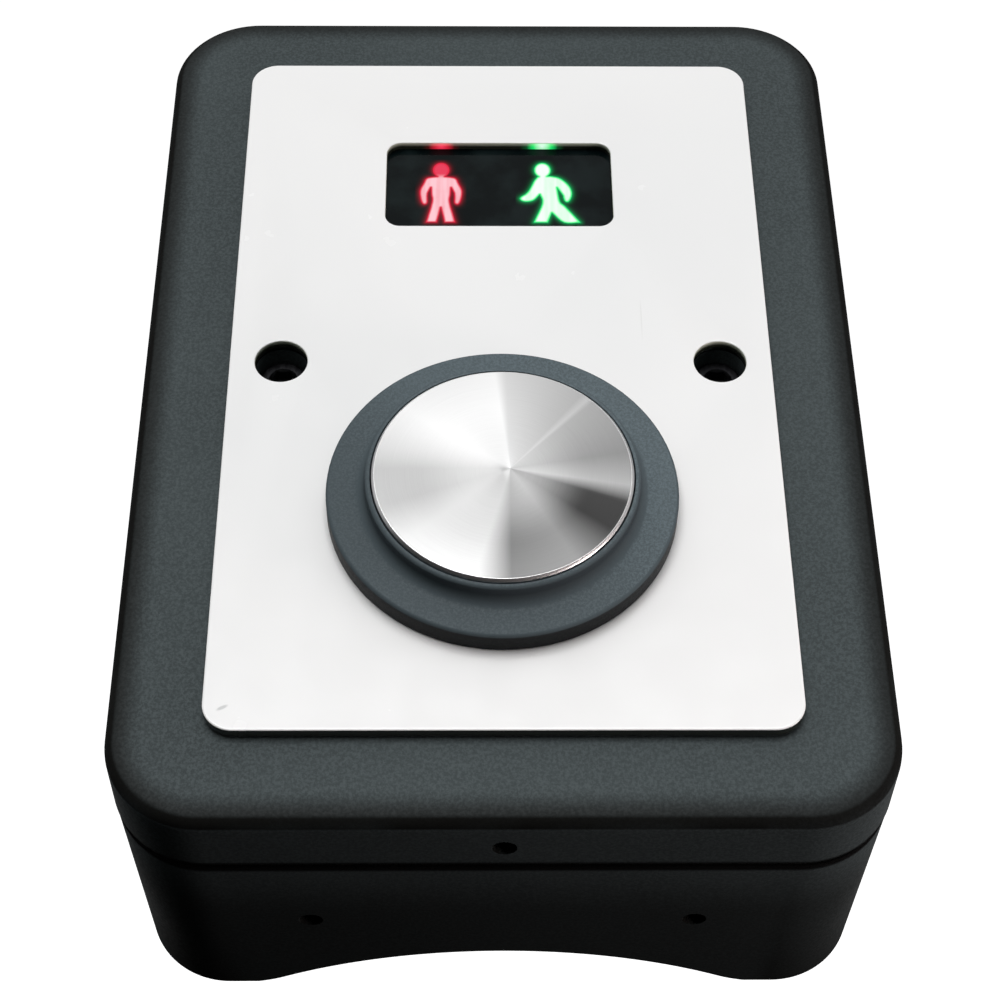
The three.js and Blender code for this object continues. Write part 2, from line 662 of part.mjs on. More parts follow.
// The lever is a strip from its pivot to the stem's tip, with a rounded end.
function switchLever() {
  const [px, pz] = LEVER_PIVOT;
  const rise = Math.atan2(STEM_TIP - FIT - 0.5 - pz, -px);
  const length = Math.hypot(px, STEM_TIP - FIT - 0.5 - pz);
  const strip = block(length, 4, -0.4, 0.4, length / 2, 0);
  const barrel = uprightRod(0.9, -2, 2, 0, 0, 14);
  const tip = uprightRod(0.5, -2, 2, length, 0, 12);
  return join(strip, barrel, tip)
    .rotate([0, (-rise * 180) / Math.PI, 0])
    .translate([px, SWITCH_Y, pz]);
}
part('switch_lever', switchLever(), plainSteel);

SWITCH_SCREWS.forEach(([x, z], i) => {
  const headFront = SWITCH_Y - 4.9 - FILM;
  const shank = uprightRod(1.3, headFront - 0.2, BUTTON_Y + 11.5, x, z, 10);
  const head = uprightRod(2.8, headFront - 1.8, headFront, x, z, 10);
  part(`switch_screw_${i + 1}`, join(shank, head), plainSteel);
});

// ---------- control board and leads ----------

const CONTROL_Z = 30;
part('control_board', drilled(96, 68, CONTROL_Z, BOARD_Y, BOARD_POSTS), circuitBoard);
BOARD_POSTS.forEach(([x, y], i) => {
  const top = CONTROL_Z + 1.6 + FILM;
  const profile = [
    [0, 23], [1.3, 23], [1.3, top], [2.8, top], [2.8, top + 1.3], [2, top + 2], [0, top + 2],
  ];
  part(
    `board_screw_${i + 1}`,
    cut(turned(profile, x, BOARD_Y + y, 10), block(6.6, 0.7, top + 1.2, top + 3, x, BOARD_Y + y)),
    plainSteel,
  );
});

const ON_BOARD = CONTROL_Z + 1.6 + FILM;
const TERMINALS = [-16, 25];
const terminalHoles = [-2, -1, 0, 1, 2].map((k) =>
  rod(1.7, ON_BOARD + 6, ON_BOARD + 14, TERMINALS[0] + k * 5.6, TERMINALS[1], 10),
);
const terminalBody = block(30, 9, ON_BOARD, ON_BOARD + 11, ...TERMINALS);
part('terminal_block', cut(terminalBody, ...terminalHoles), greenPlastic);
part('board_connector', block(12, 6, ON_BOARD, ON_BOARD + 6, 18, 26), whitePlastic);
part(
  'smoothing_capacitor',
  turned([[0, ON_BOARD], [5, ON_BOARD], [5, 42.4], [4.5, 43], [0, 43]], 22, 68, 14),
  blackPlastic,
);

const leadSection = new THREE.Shape();
leadSection.absarc(0, 0, 1.4, 0, Math.PI * 2);
function lead(points, steps) {
  const path = new THREE.CatmullRomCurve3(points.map(([x, y, z]) => new THREE.Vector3(x, y, z)));
  const options = { steps, extrudePath: path, curveSegments: 4, bevelEnabled: false };
  return new THREE.ExtrudeGeometry(leadSection, options);
}
// From the display's connector back to the control board.
part(
  'display_lead',
  lead(
    [
      [18, WINDOW_Y, 43.2], [18, WINDOW_Y, 40.5], [18.4, 46, 37], [18.4, 36, 39.5],
      [18, 28, 43.5], [18, 26, 40.6], [18, 26, 38.4],
    ],
    18,
  ),
  blackRubber,
);
// From the microswitch up to the terminals.
part(
  'switch_lead',
  lead(
    [
      [-16.5, SWITCH_Y, 30], [-19, SWITCH_Y, 30], [-24, -26, 32], [-24, -8, 35],
      [-18, 10, 38], [-16, 17.4, 38], [-16, 20, 38],
    ],
    22,
  ),
  blackRubber,
);

// ---------- the finished unit ----------

const unit = new THREE.Group();
faceFrame.rotation.x = Math.PI / 2; // the face turns towards -Y and the pole's direction becomes +Z
faceFrame.position.y = REAR;
unit.add(faceFrame);

export default unit;
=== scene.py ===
"""Pedestrian traffic light, a push-button unit for a pole: its looks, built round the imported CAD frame.

Meshes are drawn in the face frame, in millimetres: x to the right, y up the pole and z out of the pole,
from a datum plane just behind the rear lands. piece() then turns them into the CAD's own frame, in metres,
with +Z up the pole, the face towards -Y and the rear lands at Y = 0.
"""

import json
import math

import bmesh
import bpy
from mathutils import Matrix, Vector
from mathutils.geometry import intersect_point_line


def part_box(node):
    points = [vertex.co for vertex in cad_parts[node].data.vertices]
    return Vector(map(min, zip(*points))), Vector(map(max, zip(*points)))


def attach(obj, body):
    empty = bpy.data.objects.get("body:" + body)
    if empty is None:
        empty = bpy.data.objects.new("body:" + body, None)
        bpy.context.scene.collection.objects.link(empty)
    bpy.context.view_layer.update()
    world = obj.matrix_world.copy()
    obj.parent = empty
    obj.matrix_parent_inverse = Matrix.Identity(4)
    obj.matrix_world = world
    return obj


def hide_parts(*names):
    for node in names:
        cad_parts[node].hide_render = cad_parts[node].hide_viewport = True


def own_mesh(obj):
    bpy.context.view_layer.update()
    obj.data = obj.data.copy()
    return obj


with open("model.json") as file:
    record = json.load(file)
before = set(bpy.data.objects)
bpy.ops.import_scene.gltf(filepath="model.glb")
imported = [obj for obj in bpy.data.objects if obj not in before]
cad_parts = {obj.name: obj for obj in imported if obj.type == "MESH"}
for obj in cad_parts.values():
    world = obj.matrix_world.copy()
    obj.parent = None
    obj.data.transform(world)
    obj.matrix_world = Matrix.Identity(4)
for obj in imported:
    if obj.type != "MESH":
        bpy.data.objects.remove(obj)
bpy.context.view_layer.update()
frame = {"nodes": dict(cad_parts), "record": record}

MM = 0.001
REAR = 3  # the rear lands, from the datum plane
TO_PART = Matrix(((MM, 0, 0, 0), (0, 0, -MM, REAR * MM), (0, MM, 0, 0), (0, 0, 0, 1)))


# ---------- sizes that the frame gives ----------


def face_box(node):
    """A CAD node's lowest and highest corners in the face frame."""
    low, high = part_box(node)
    datum = Vector((0, 0, REAR))
    return Vector((low.x, low.z, -high.y)) / MM + datum, Vector((high.x, high.z, -low.y)) / MM + datum


def width_height(low, high):
    return high.x - low.x, high.y - low.y


cover_low, cover_high = face_box("front_cover")
BODY_W, BODY_H = width_height(cover_low, cover_high)
COVER_FRONT = cover_high.z
HOUSING_FRONT = face_box("rear_housing")[1].z
seal_low, seal_high = face_box("cover_gasket")
COVER_REAR = seal_high.z + 0.3
plate_low, plate_high = face_box("face_plate")
PLATE_W, PLATE_H = width_height(plate_low, plate_high)
PLATE_REAR, PLATE_FRONT = plate_low.z, plate_high.z
gasket_low, gasket_high = face_box("plate_gasket")
lens_low, lens_high = face_box("window_lens")
LENS_W, LENS_H = width_height(lens_low, lens_high)
WINDOW_Y = (lens_low.y + lens_high.y) / 2
collar_low, collar_high = face_box("button_collar")
BUTTON_Y = (collar_low.y + collar_high.y) / 2
FLANGE_R = collar_high.x
cap_low, cap_high = face_box("push_cap")
CAP_R, CAP_FRONT = cap_high.x, cap_high.z
screw_low, screw_high = face_box("cover_screw_right")
SCREW_X = (screw_low.x + screw_high.x) / 2
SCREW_R = (screw_high.x - screw_low.x) / 2
grommet_low, grommet_high = face_box("cable_grommet")
CABLE_Y = (grommet_low.y + grommet_high.y) / 2
spring_low, spring_high = face_box("return_spring")

# ---------- sizes that its boxes don't show ----------

BODY_R = 19
PLATE_R = 6
EDGE_R = 2.8
SEAM_R = 0.5
REAR_EDGE_R = 0.9
DRAFT = 1.6
WALL = 4.8
POLE_R = 85
SADDLE_TOP = 18.6
SADDLE_EASE_R = 20
SADDLE_WALL = 4.2
WINDOW_W, WINDOW_H, WINDOW_R = 50.2, 25.4, 3.3
LENS_R = 5
BARREL_R = 22
BEVEL = 0.5  # the push disc's
SCREW_HOLE_R = 5.5
CUT_EDGE_R = 0.3  # the holes' rounded front edges
DRAIN_R = 2.4
FEED_THROUGH_R = 0.5  # room round the button's barrel


# ---------- mesh building ----------


def mesh_from(points, faces):
    mesh = bpy.data.meshes.new("draft")
    mesh.from_pydata(points, [], faces)
    mesh.validate()
    bm = bmesh.new()
    bm.from_mesh(mesh)
    bmesh.ops.recalc_face_normals(bm, faces=bm.faces)
    bm.to_mesh(mesh)
    bm.free()
    return mesh


def arc(start, end, steps):
    """Angles from start to end, in radians, from degrees."""
    return [math.radians(start + (end - start) * i / steps) for i in range(steps + 1)]


def rounded_rectangle(w, h, r, steps=20):
    """A rounded rectangle's points, with one just past each end of every arc to keep its sides flat."""
    hold = 0.6
    points = []
    for sx, sy, start in ((1, -1, -90), (1, 1, 0), (-1, 1, 90), (-1, -1, 180)):
        cx, cy = sx * (w / 2 - r), sy * (h / 2 - r)
        angles = arc(start, start + 90, steps)
        along = Vector((-math.sin(angles[0]), math.cos(angles[0]))) * hold
        onward = Vector((-math.sin(angles[-1]), math.cos(angles[-1]))) * hold
        ring = [Vector((cx + r * math.cos(a), cy + r * math.sin(a))) for a in angles]
        points += [ring[0] - along, *ring, ring[-1] + onward]
    return points


def circle(r, steps=64):
    return [Vector((r * math.cos(a), r * math.sin(a))) for a in arc(0, 360, steps)[:-1]]


def skinned(points, n):
    """A closed solid through rings of n points each, with a flat cap at both ends."""
    last = len(points) - n
    faces = [list(range(n)), list(range(last, len(points)))]
    for ring in range(0, last, n):
        for i in range(n):
            j = (i + 1) % n
            faces.append((ring + i, ring + j, ring + n + j, ring + n + i))
    return mesh_from(points, faces)


def loft(sections, x=0, y=0):
    """A closed solid through sections of (outline points, z), lowest first."""
    points = [(p.x + x, p.y + y, z) for outline, z in sections for p in outline]
    return skinned(points, len(sections[0][0]))


def body_outline(inset):
    return rounded_rectangle(BODY_W - 2 * inset, BODY_H - 2 * inset, BODY_R - inset, 24)


KEEP_FLAT = 1.6  # a face's last ring, in rounding radii from the edge, holds its shading flat


def rounded_slab(outline_at, z0, z1, front_r, rear_r, steps):
    """A slab whose front and rear edges are rounded. outline_at(inset) gives its outline."""
    sections = [(outline_at(rear_r * KEEP_FLAT), z0)]
    for a in arc(90, 0, steps):
        sections.append((outline_at(rear_r * (1 - math.cos(a))), z0 + rear_r * (1 - math.sin(a))))
    for a in arc(0, 90, steps):
        sections.append((outline_at(front_r * (1 - math.cos(a))), z1 - front_r * (1 - math.sin(a))))
    sections.append((outline_at(front_r * KEEP_FLAT), z1))
    return loft(sections)


def hole(outline_at, z0, z1, x=0, y=0):
    """The tool for a hole through a sheet whose front face is at z1, with a rounded front edge."""
    sections = [(outline_at(0), z0 - 1)]
    for a in arc(0, 90, 5):
        grow = CUT_EDGE_R * (1 - math.cos(a))
        sections.append((outline_at(grow), z1 - CUT_EDGE_R * (1 - math.sin(a))))
    sections.append((outline_at(CUT_EDGE_R), z1 + 3))
    return loft(sections, x, y)


def prism(outline, z0, z1, x=0, y=0):
    return loft([(outline, z0), (outline, z1)], x, y)


def rod(r, z0, z1, x=0, y=0, steps=48):
    return prism(circle(r, steps), z0, z1, x, y)


def upright_rod(r, y0, y1, x, z, steps=40):
    """A rod whose axis runs up the pole."""
    mesh = prism(circle(r, steps), y0, y1)
    mesh.transform(Matrix.Translation((x, 0, z)) @ Matrix.Rotation(math.radians(-90), 4, "X"))
    return mesh


def softened(corners, steps=5):
    """A closed profile from (radius, z, fillet radius) corners, each fillet an arc."""
    points = []
    n = len(corners)
    for i, (r, z, fillet) in enumerate(corners):
        here = Vector((r, z))
        before = (Vector(corners[i - 1][:2]) - here).normalized()
        after = (Vector(corners[(i + 1) % n][:2]) - here).normalized()
        opening = before.angle(after)
        if not fillet or abs(opening - math.pi) < 0.01:
            points.append(here)
            continue
        reach = fillet / math.tan(opening / 2)
        centre = here + (before + after).normalized() * fillet / math.sin(opening / 2)
        first, last = here + before * reach - centre, here + after * reach - centre
        start = math.atan2(first.y, first.x)
        sweep = math.remainder(math.atan2(last.y, last.x) - start, math.tau)
        for k in range(steps + 1):
            a = start + sweep * k / steps
            points.append(centre + Vector((math.cos(a), math.sin(a))) * fillet)
    return points


def turned(profile, x, y, sides):
    """A turned solid about the z axis, from a closed profile of (radius, z) points."""
    points, faces, rows = [], [], []
    for r, z in profile:
        if r < 1e-6:
            rows.append([len(points)] * sides)
            points.append((x, y, z))
            continue
        rows.append([len(points) + k for k in range(sides)])
        points += [(x + p.x * r, y + p.y * r, z) for p in circle(1, sides)]
    for k, row in enumerate(rows):
        above = rows[(k + 1) % len(rows)]
        for i in range(sides):
            j = (i + 1) % sides
            corners = list(dict.fromkeys((row[i], row[j], above[j], above[i])))
            if len(corners) > 2:
                faces.append(corners)
    return mesh_from(points, faces)


def combined(mesh, tools, operation="DIFFERENCE"):
    """mesh with each tool cut away, joined on, or kept in common."""
    made = [bpy.data.objects.new("draft", m) for m in (mesh, *tools)]
    for obj in made:
        bpy.context.scene.collection.objects.link(obj)
    for tool in made[1:]:
        modifier = made[0].modifiers.new("boolean", "BOOLEAN")
        modifier.operation = operation
        modifier.solver = "MANIFOLD"
        modifier.object = tool
    depsgraph = bpy.context.evaluated_depsgraph_get()
    result = bpy.data.meshes.new_from_object(made[0].evaluated_get(depsgraph))
    for obj in made:
        bpy.data.objects.remove(obj)
    return result


SHARP_FROM = math.radians(32)


def piece(name, mesh, body, replaced, slot):
    """Makes a finished piece of a mesh drawn in the face frame, with the material of its slot."""
    mesh.transform(TO_PART)
    mesh.name = name
    mesh.materials.clear()
    mesh.materials.append(FINISHES[slot])
    mesh.polygons.foreach_set("use_smooth", [True] * len(mesh.polygons))
    mesh.set_sharp_from_angle(angle=SHARP_FROM)
    obj = bpy.data.objects.new(name, mesh)
    bpy.context.scene.collection.objects.link(obj)
    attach(obj, body)
    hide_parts(replaced)
    return obj


# ---------- materials ----------

WALKER_LEAN = 1.4  # the walking figure's head is this far left of the middle of its stride
FIGURE_HEAD_X = {
    "red": sum(v.x for v in face_box("red_figure")) / 2,
    "green": sum(v.x for v in face_box("green_figure")) / 2 - WALKER_LEAN,
}
SEAM_Y = (REAR - (HOUSING_FRONT + COVER_REAR) / 2) * MM
PLATE_FRONT_Y = (REAR - PLATE_FRONT) * MM
FLANGE_FRONT_Y = PLATE_FRONT_Y - 5 * MM
COLLAR_LOW, COLLAR_TOP = (BUTTON_Y - 40) * MM, (BUTTON_Y + 40) * MM
WINDOW_TOP = WINDOW_Y + WINDOW_H / 2
HEAD_GLOW_Y = PLATE_FRONT_Y + 1 * MM
SCUFF_AT = (-0.0528, -0.077, -0.0843)
SCUFF_TURN = math.radians(28)
SCUFF_ALONG = (math.cos(SCUFF_TURN), 0.0, math.sin(SCUFF_TURN))
SCUFF_ACROSS = (-SCUFF_ALONG[2], 0.0, SCUFF_ALONG[0])
SCUFF_LENGTH, SCUFF_WIDTH = 1.5 * MM, 0.5 * MM  # from its middle
FANS_AT = (1.5 * MM, 0.0, 0.9 * MM)  # where the disc's fans of painted reflection meet, from its middle


def add_node(tree, kind, _out=0, _set=None, **inputs):
    """Adds a node. Each input is a socket, to link, or a value. Returns one of its outputs."""
    node = tree.nodes.new("ShaderNode" + kind)
    for key, value in (_set or {}).items():
        setattr(node, key, value)
    for key, value in inputs.items():
        socket = node.inputs[int(key[1:])] if key[0] == "i" and key[1:].isdigit() else node.inputs[key]
        if isinstance(value, bpy.types.NodeSocket):
            tree.links.new(value, socket)
        else:
            socket.default_value = value
    return node.outputs[_out]


def eased(tree, value, low, high, to_low, to_high):
    """value from low..high to to_low..to_high, clamped and eased."""
    return add_node(
        tree, "MapRange", _set={"interpolation_type": "SMOOTHSTEP"},
        **{"Value": value, "From Min": low, "From Max": high, "To Min": to_low, "To Max": to_high},
    )


class Finish:
    """A Principled material and short ways to add nodes to it."""

    def __init__(self, name, roughness, metallic=0.0, **sockets):
        self.material = bpy.data.materials.new(name)
        self.material.use_nodes = True
        self.tree = self.material.node_tree
        self.shader = next(n for n in self.tree.nodes if n.type == "BSDF_PRINCIPLED")
        self.shader.inputs["Roughness"].default_value = roughness
        self.shader.inputs["Metallic"].default_value = metallic
        for socket, value in sockets.items():
            self.shader.inputs[socket.replace("_", " ")].default_value = value
        self.place = self.tree.nodes.new("ShaderNodeTexCoord").outputs["Object"]

    def add(self, kind, _out=0, _set=None, **inputs):
        return add_node(self.tree, kind, _out, _set, **inputs)

    def noise(self, scale, detail=2.0, roughness=0.5, vector=None):
        vector = vector or self.place
        return self.add("TexNoise", Vector=vector, Scale=scale, Detail=detail, Roughness=roughness)

    def math(self, operation, a, b=0.0, c=0.0):
        return self.add("Math", _set={"operation": operation}, i0=a, i1=b, i2=c)

    def vector(self, operation, a, b, _out=0):
        return self.add("VectorMath", _out, {"operation": operation}, i0=a, i1=b)

    def axis(self, vector, index):
        return self.add("SeparateXYZ", index, Vector=vector)

    def spread(self, value, low, high, to_low=0.0, to_high=1.0):
        return eased(self.tree, value, low, high, to_low, to_high)

    def mix(self, share, first, second, blend="MIX"):
        """Colours mixed by share. A colour is a socket or three numbers."""
        a, b = (c if isinstance(c, bpy.types.NodeSocket) else (*c, 1) for c in (first, second))
        return self.add("Mix", 2, {"data_type": "RGBA", "blend_type": blend}, i0=share, i6=a, i7=b)

    def ramp(self, value, stops):
        """A colour ramp through (position, grey or colour) stops."""
        node = self.tree.nodes.new("ShaderNodeValToRGB")
        self.tree.links.new(value, node.inputs[0])
        elements = node.color_ramp.elements
        while len(elements) < len(stops):
            elements.new(1)
        for element, (position, colour) in zip(elements, stops):
            element.position = position
            element.color = (*((colour,) * 3 if isinstance(colour, (int, float)) else colour), 1)
        return node.outputs[0]

    def colour(self, socket):
        self.tree.links.new(socket, self.shader.inputs["Base Color"])

    def rough(self, socket):
        self.tree.links.new(socket, self.shader.inputs["Roughness"])

    def glow(self, socket):
        self.tree.links.new(socket, self.shader.inputs["Emission Color"])
        self.shader.inputs["Emission Strength"].default_value = 1

    def bump(self, height, millimetres, strength):
        normal = self.add("Bump", Height=height, Strength=strength, Distance=millimetres * MM)
        self.tree.links.new(normal, self.shader.inputs["Normal"])


def facing_front(f):
    """1 where the surface faces straight out of the pole or into it, and 0 on the sides."""
    return f.math("ABSOLUTE", f.axis(f.add("NewGeometry", 1), 1))


def rim_distance(f):
    """How far in from the body's outline a place is, near that outline."""
    across = f.add("VectorMath", _set={"operation": "ABSOLUTE"}, i0=f.place)
    square = ((BODY_W / 2 - BODY_R) * MM, 1.0, (BODY_H / 2 - BODY_R) * MM)
    corner = f.vector("MAXIMUM", f.vector("SUBTRACT", across, square), (0.0, 0.0, 0.0))
    return f.math("SUBTRACT", BODY_R * MM, f.add("VectorMath", 1, {"operation": "LENGTH"}, i0=corner))


def coat(name, colour, edge, side, grain=1.0, roughness=0.6):
    """Fine-textured powder coat, paler on the tips of its grain. Painted shade makes it nearly black on its
    rounded edges, near the body's outline and in the seam, and darker towards the rear behind the cover; on
    the collar, painted shade darkens the lower left and the sides."""
    f = Finish(name, roughness, Specular_IOR_Level=0.12)
    coarse = f.noise(1500 / grain, 3, 0.6)
    fine = f.noise(3600 / grain, 2, 0.5)
    height = f.math("ADD", coarse, f.math("MULTIPLY", fine, 0.5))
    tips = f.spread(height, 0.6, 0.95)
    drift = f.spread(f.noise(26, 3), 0.3, 0.72)
    base = f.mix(drift, colour, [c * 0.84 for c in colour])
    base = f.mix(f.math("MULTIPLY", tips, 0.5), base, [c * 1.8 for c in colour])
    behind = f.axis(f.place, 1)
    # painted shade: the coat darkens towards the rear, behind the cover
    base = f.mix(f.spread(behind, SEAM_Y, 0.6 * SEAM_Y, 0.0, 0.6), base, (0.008, 0.008, 0.007))
    front = facing_front(f)
    if side:
        # painted shade: the collar darkens towards its lower left
        up_right = f.vector("DOT_PRODUCT", f.place, (1.0, 0.0, 1.0), 1)
        lower_left_shade = f.spread(up_right, COLLAR_LOW, COLLAR_TOP, 0.6, 0.0)
        base = f.mix(lower_left_shade, base, [c * 0.55 for c in colour])
        # painted shade: the collar's sides take a shaded colour that turns nearly black towards the plate
        below = f.spread(behind, FLANGE_FRONT_Y - 0.3 * MM, FLANGE_FRONT_Y + 1.2 * MM)
        shaded = f.mix(below, side, (0.004, 0.005, 0.006))
        base = f.mix(f.spread(front, 0.3, 0.8), shaded, base)
    else:
        # painted shade: the front face darkens towards the body's outline, next to its rounded edge
        rim = f.spread(rim_distance(f), 2.2 * MM, 7.5 * MM, 0.8, 0.0)
        base = f.mix(f.math("MULTIPLY", rim, f.spread(front, 0.3, 0.8)), base, edge)
    # painted shade: the rounded edges turn nearly black, mottled by noise; edge is the painted shade's colour
    edge_shade_noise = f.spread(f.noise(70, 4), 0.25, 0.75, 0.8, 1.0)
    turn = f.math("MULTIPLY", f.spread(front, 0.1, 0.35), f.spread(front, 0.86, 0.975, 1.0, 0.0))
    base = f.mix(f.math("MULTIPLY", turn, edge_shade_noise), base, edge)
    # painted shadow: the coat turns near-black in the seam between cover and housing
    seam = f.math("ABSOLUTE", f.math("SUBTRACT", behind, SEAM_Y))
    f.colour(f.mix(f.spread(seam, 1.4 * MM, 2.4 * MM, 0.9, 0.0), base, (0.002, 0.002, 0.002)))
    even = f.spread(height, 0.5, 1.0, roughness + 0.08, roughness - 0.08)
    f.rough(f.math("MULTIPLY_ADD", turn, 0.3, even))
    f.bump(height, 0.03, 0.5)
    return f.material


def painted_plate(name):
    """White enamel, faintly uneven and scuffed. Its holes' cut edges are greenish and darken deeper in with
    painted shade, its outer edge is dark with painted shade, and a painted glow from the lit figures lies on
    the window's upper edge.
    """
    f = Finish(name, 0.2, Coat_Weight=0.25, Coat_Roughness=0.08)
    cloud = f.spread(f.noise(9, 3), 0.3, 0.75)
    base = f.mix(cloud, (0.9, 0.9, 0.897), (0.865, 0.87, 0.87))
    stretched = f.add("Mapping", Vector=f.place, Rotation=(0, 0.6, 0), Scale=(1, 1, 0.04))
    scratch = f.spread(f.noise(620, 1, 0.4, stretched), 0.74, 0.78)
    scratch = f.math("MULTIPLY", scratch, f.spread(f.noise(34, 2), 0.56, 0.66))
    base = f.mix(f.math("MULTIPLY", scratch, 0.2), base, (0.6, 0.6, 0.58))
    off = f.vector("SUBTRACT", f.place, SCUFF_AT)
    along = f.math("MULTIPLY", f.vector("DOT_PRODUCT", off, SCUFF_ALONG, 1), 1 / SCUFF_LENGTH)
    across = f.math("MULTIPLY", f.vector("DOT_PRODUCT", off, SCUFF_ACROSS, 1), 1 / SCUFF_WIDTH)
    away = f.math("ADD", f.math("MULTIPLY", along, along), f.math("MULTIPLY", across, across))
    scuff = f.spread(f.math("SQRT", away), 0.4, 1.0, 0.6, 0.0)
    base = f.mix(scuff, base, (0.4, 0.41, 0.41))
    # painted shade: the cut edges are greenish at the front and darken deeper into the holes, and the outer
    # edge is near-black
    across = f.add("VectorMath", _set={"operation": "ABSOLUTE"}, i0=f.place)
    shares = f.vector("DIVIDE", across, (PLATE_W / 2 * MM, 1.0, PLATE_H / 2 * MM))
    inside = f.math("MAXIMUM", f.axis(shares, 0), f.axis(shares, 2))
    depth = f.spread(f.axis(f.place, 1), PLATE_FRONT_Y + 0.3 * MM, PLATE_FRONT_Y + 1.3 * MM)
    in_hole = f.mix(depth, (0.7, 0.75, 0.62), (0.03, 0.035, 0.025))
    cut_edge = f.mix(f.spread(inside, 0.92, 0.95), in_hole, (0.012, 0.014, 0.01))
    f.colour(f.mix(f.spread(facing_front(f), 0.25, 0.7), cut_edge, base))
    f.rough(f.spread(f.noise(130, 4), 0.3, 0.8, 0.16, 0.28))
    f.bump(f.math("ADD", f.math("MULTIPLY", f.noise(90, 2), 0.7), scratch), 0.01, 0.2)
    # painted glow: the lit figures' light on the window's upper edge, a painted reflection
    red = f.ramp(glow_spot(f, FIGURE_HEAD_X["red"], 4.2), RED_SPOT)
    green = f.ramp(glow_spot(f, FIGURE_HEAD_X["green"], 5.0), GREEN_SPOT)
    light = f.mix(1.0, red, green, "ADD")
    f.glow(f.mix(f.spread(facing_front(f), 0.1, 0.5), light, (0, 0, 0)))
    return f.material


def glow_spot(f, x, reach):
    """How strongly a lit figure shines on the window's upper edge, over its head."""
    away = f.vector("DISTANCE", f.place, (x * MM, HEAD_GLOW_Y, WINDOW_TOP * MM), 1)
    return f.add("MapRange", **{"Value": away, "From Max": reach * MM, "To Min": 1.0, "To Max": 0.0})


RED_SPOT = ((0.0, 0.0), (0.3, (0.05, 0.0, 0.002)), (0.65, (0.6, 0.01, 0.035)), (1.0, (0.95, 0.05, 0.12)))
GREEN_SPOT = ((0.0, 0.0), (0.3, (0.0, 0.06, 0.015)), (0.6, (0.01, 0.8, 0.16)), (1.0, (0.75, 1.0, 0.85)))


def spun_steel(name):
    """Steel spun on its axis: fine rings, with pale and dark fans of painted reflection in its colour and a
    painted highlight on its chamfered rim.
    """
    f = Finish(name, 0.36, 1.0, Anisotropic=0.35)
    tangent = f.add("Tangent", _set={"direction_type": "RADIAL", "axis": "Y"})
    f.tree.links.new(tangent, f.shader.inputs["Tangent"])
    off = f.vector("SUBTRACT", f.place, (0.0, 0.0, BUTTON_Y * MM))
    flat = f.vector("MULTIPLY", off, (1.0, 0.0, 1.0))
    radius = f.add("VectorMath", 1, {"operation": "LENGTH"}, i0=flat)
    apex = f.vector("SUBTRACT", flat, FANS_AT)
    angle = f.math("ARCTAN2", f.axis(apex, 2), f.axis(apex, 0))
    turn = f.add("MapRange", **{"Value": angle, "From Min": -math.pi, "From Max": math.pi})
    # painted reflection: pale and dark fans round the disc's middle, in its colour
    fans = f.ramp(turn, [((degrees + 180) / 360, grey) for degrees, grey in REFLECTION_FANS])
    fans = f.mix(f.spread(radius, 3 * MM, 18 * MM, 0.55, 1.0), (0.6, 0.6, 0.6), fans)
    rings = f.noise(1.0, 3, 0.7, f.add("CombineXYZ", X=f.math("MULTIPLY", radius, 11000.0)))
    arcs = f.add("CombineXYZ", X=f.math("MULTIPLY", radius, 7000.0), Y=f.math("MULTIPLY", angle, 1.2))
    streaks = f.noise(1.0, 3, 0.6, arcs)
    grain = f.math("ADD", f.math("MULTIPLY", rings, 0.5), f.math("MULTIPLY", streaks, 0.5))
    brushed = f.mix(1.0, fans, f.ramp(grain, [(0.3, 0.9), (0.7, 1.0)]), "MULTIPLY")
    # painted highlight: the chamfered rim of the disc is painted white
    rim_highlight = f.spread(radius, (CAP_R - BEVEL - 0.15) * MM, (CAP_R - BEVEL + 0.05) * MM)
    f.colour(f.mix(rim_highlight, brushed, (1.0, 1.0, 1.0)))
    f.rough(f.spread(grain, 0.3, 0.7, 0.4, 0.32))
    f.bump(grain, 0.006, 0.25)
    return f.material


# The disc's fans of painted reflection: degrees anticlockwise from the right, and how bright the painted
# reflection makes the steel there.
REFLECTION_FANS = (
    (-180, 0.35), (-160, 0.3), (-140, 0.4), (-105, 0.4), (-90, 0.12), (-60, 0.16), (-37, 0.03), (-20, 0.04),
    (-10, 0.33), (10, 0.25), (45, 0.45), (48, 0.6), (52, 0.5), (92, 0.75), (97, 1.0), (145, 0.8), (180, 0.35),
)


def metal(name, colour, roughness=0.32):
    """Machined or plated metal, with tool marks and a little tarnish."""
    f = Finish(name, roughness, 1.0)
    marks = f.noise(2400, 2, 0.6, f.add("Mapping", Vector=f.place, Scale=(1, 1, 0.15)))
    tarnish = f.spread(f.noise(160, 3), 0.35, 0.75)
    f.colour(f.mix(f.math("MULTIPLY", tarnish, 0.5), colour, [c * 0.66 for c in colour]))
    f.rough(f.spread(marks, 0.3, 0.75, roughness - 0.08, roughness + 0.14))
    f.bump(marks, 0.012, 0.3)
    return f.material


def rubber(name, colour):
    """Moulded rubber, matte, with pale specks."""
    f = Finish(name, 0.8)
    speck = f.noise(1800, 3, 0.6)
    f.colour(f.mix(f.spread(speck, 0.45, 0.8), colour, [c * 2.4 for c in colour]))
    f.rough(f.spread(f.noise(90, 2), 0.3, 0.7, 0.7, 0.88))
    f.bump(speck, 0.03, 0.4)
    return f.material


def plastic(name, colour, roughness=0.45):
    """Moulded plastic with a spark-eroded texture."""
    f = Finish(name, roughness)
    texture = f.noise(2200, 3, 0.6)
    f.colour(f.mix(f.spread(f.noise(40, 2), 0.3, 0.75), colour, [c * 0.85 for c in colour]))
    f.rough(f.spread(texture, 0.3, 0.75, roughness - 0.07, roughness + 0.1))
    f.bump(texture, 0.02, 0.4)
    return f.material


